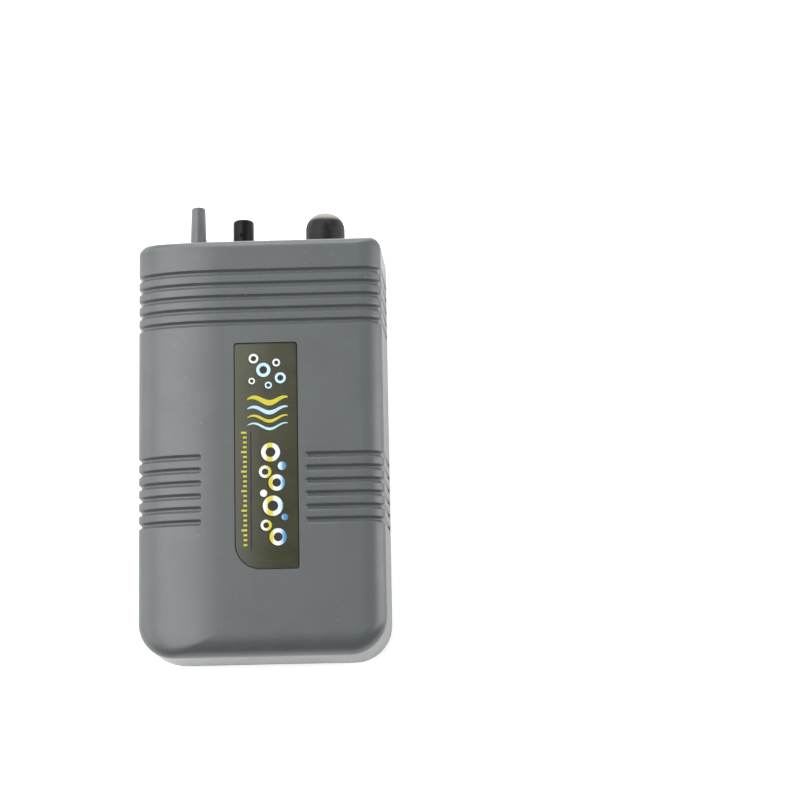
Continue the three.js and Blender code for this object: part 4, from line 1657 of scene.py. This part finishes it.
@dataclass
class Studio:
    """Camera, pale floor and soft light."""

    eye: Point = (0.05923, -0.11413, 0.68957)
    look: Point = (-0.02427, 0.18111, -0.98316)
    upward: Point = (0.02426, 0.98327, 0.18053)
    lens: float = 97.31
    sky: float = 0.28
    horizon: float = 0.95
    near_share: float = 0.05
    boxes: tuple[Softbox, ...] = (
        Softbox("left_box", (-0.75, 0.3, 1.0), (-0.75, 0.3, 0.0), (1.0, 1.8), 24.0),
        Softbox("top_box", (0.05, 0.9, 0.45), (0.0, 0.0, 0.02), (0.9, 0.4), 6.0),
        Softbox("left_wall_box", (-1.35, 0.25, 0.45), (0.0, 0.05, 0.02), (1.6, 0.6), 8.0),
        Softbox("right_box", (1.0, 0.05, 0.42), (0.0, 0.0, 0.02), (0.5, 1.0), 8.0),
    )

    def camera(self) -> None:
        """Places the camera where the pump is seen nearly from above."""
        back = -Vector(self.look).normalized()
        right = Vector(self.upward).cross(back).normalized()
        up = back.cross(right)
        turned = Matrix((right, up, back)).transposed().to_4x4()
        data = bpy.data.cameras.new("camera")
        data.lens = self.lens
        data.sensor_width = 36.0
        data.clip_start = 0.01
        camera = bpy.data.objects.new("camera", data)
        camera.matrix_world = Matrix.Translation(self.eye) @ turned
        bpy.context.scene.collection.objects.link(camera)
        bpy.context.scene.camera = camera

    def floor(self) -> None:
        """Lays the pale floor under the pump."""
        mesh = bmesh.new()
        bmesh.ops.create_grid(mesh, x_segments=2, y_segments=2, size=30.0)
        bmesh.ops.translate(mesh, vec=(0, 0, -0.0002), verts=mesh.verts)
        thing = _loose_object(mesh, "studio_floor")
        thing.data.materials.append(StudioFloor("pale_floor", "floor", tone(246, 246, 246)).make())

    def lights(self) -> None:
        """Hangs the soft lights, sets the sky and the standard view transform."""
        for box in self.boxes:
            data = bpy.data.lights.new(box.name, "AREA")
            data.shape = "RECTANGLE"
            data.size, data.size_y = box.size
            data.energy = box.power
            lamp = bpy.data.objects.new(box.name, data)
            lamp.location = box.place
            way = Vector(box.aim) - Vector(box.place)
            lamp.rotation_euler = way.to_track_quat("-Z", "Y").to_euler()
            bpy.context.scene.collection.objects.link(lamp)
        bpy.context.scene.world = self.world()
        bpy.context.scene.view_settings.view_transform = "Standard"

    def world(self) -> bpy.types.World:
        """Makes a dim sky with a white band at the horizon, like the paper sweep round a table.

        Returns:
            The world.
        """
        world = bpy.data.worlds.new("paper_sweep")
        world.use_nodes = True
        tree = world.node_tree
        place = tree.nodes.new("ShaderNodeTexCoord")
        split = tree.nodes.new("ShaderNodeSeparateXYZ")
        tree.links.new(place.outputs["Generated"], split.inputs[0])

        def fade(value: bpy.types.NodeSocket, *limits: float) -> bpy.types.Node:
            """Eases from one strength to another along a direction.

            Args:
                value: The direction's part.
                limits: Start and end of the change, then the strength at each.

            Returns:
                The node.
            """
            node = tree.nodes.new("ShaderNodeMapRange")
            node.interpolation_type = "SMOOTHSTEP"
            for name, number in zip(("From Min", "From Max", "To Min", "To Max"), limits):
                node.inputs[name].default_value = number
            tree.links.new(value, node.inputs["Value"])
            return node

        band = fade(split.outputs[2], 0.08, 0.26, self.horizon, self.sky)
        side = fade(split.outputs[1], -0.6, 0.25, self.near_share, 1.0)
        strength = tree.nodes.new("ShaderNodeMath")
        strength.operation = "MULTIPLY"
        tree.links.new(band.outputs["Result"], strength.inputs[0])
        tree.links.new(side.outputs["Result"], strength.inputs[1])
        tree.nodes["Background"].inputs["Color"].default_value = (1, 1, 1, 1)
        tree.links.new(strength.outputs[0], tree.nodes["Background"].inputs["Strength"])
        return world

    def build(self) -> None:
        """Sets up the whole studio."""
        self.camera()
        self.floor()
        self.lights()
        log.info("studio ready")


def main() -> None:
    logging.basicConfig(level=logging.INFO, format="%(message)s")
    Studio().build()
    finisher = Finisher(Finishes())
    form = CaseForm.from_frame()
    label = Label.from_frame(form)
    fittings = Fittings.from_frame()
    FrontCover(form).build(finisher, label, fittings)
    RearCover(form).build(finisher)
    label.build(finisher)
    fittings.build(finisher)
    Works().build(finisher)
    log.info("%d pieces made", finisher.made)


if __name__ == "__main__":
    main()
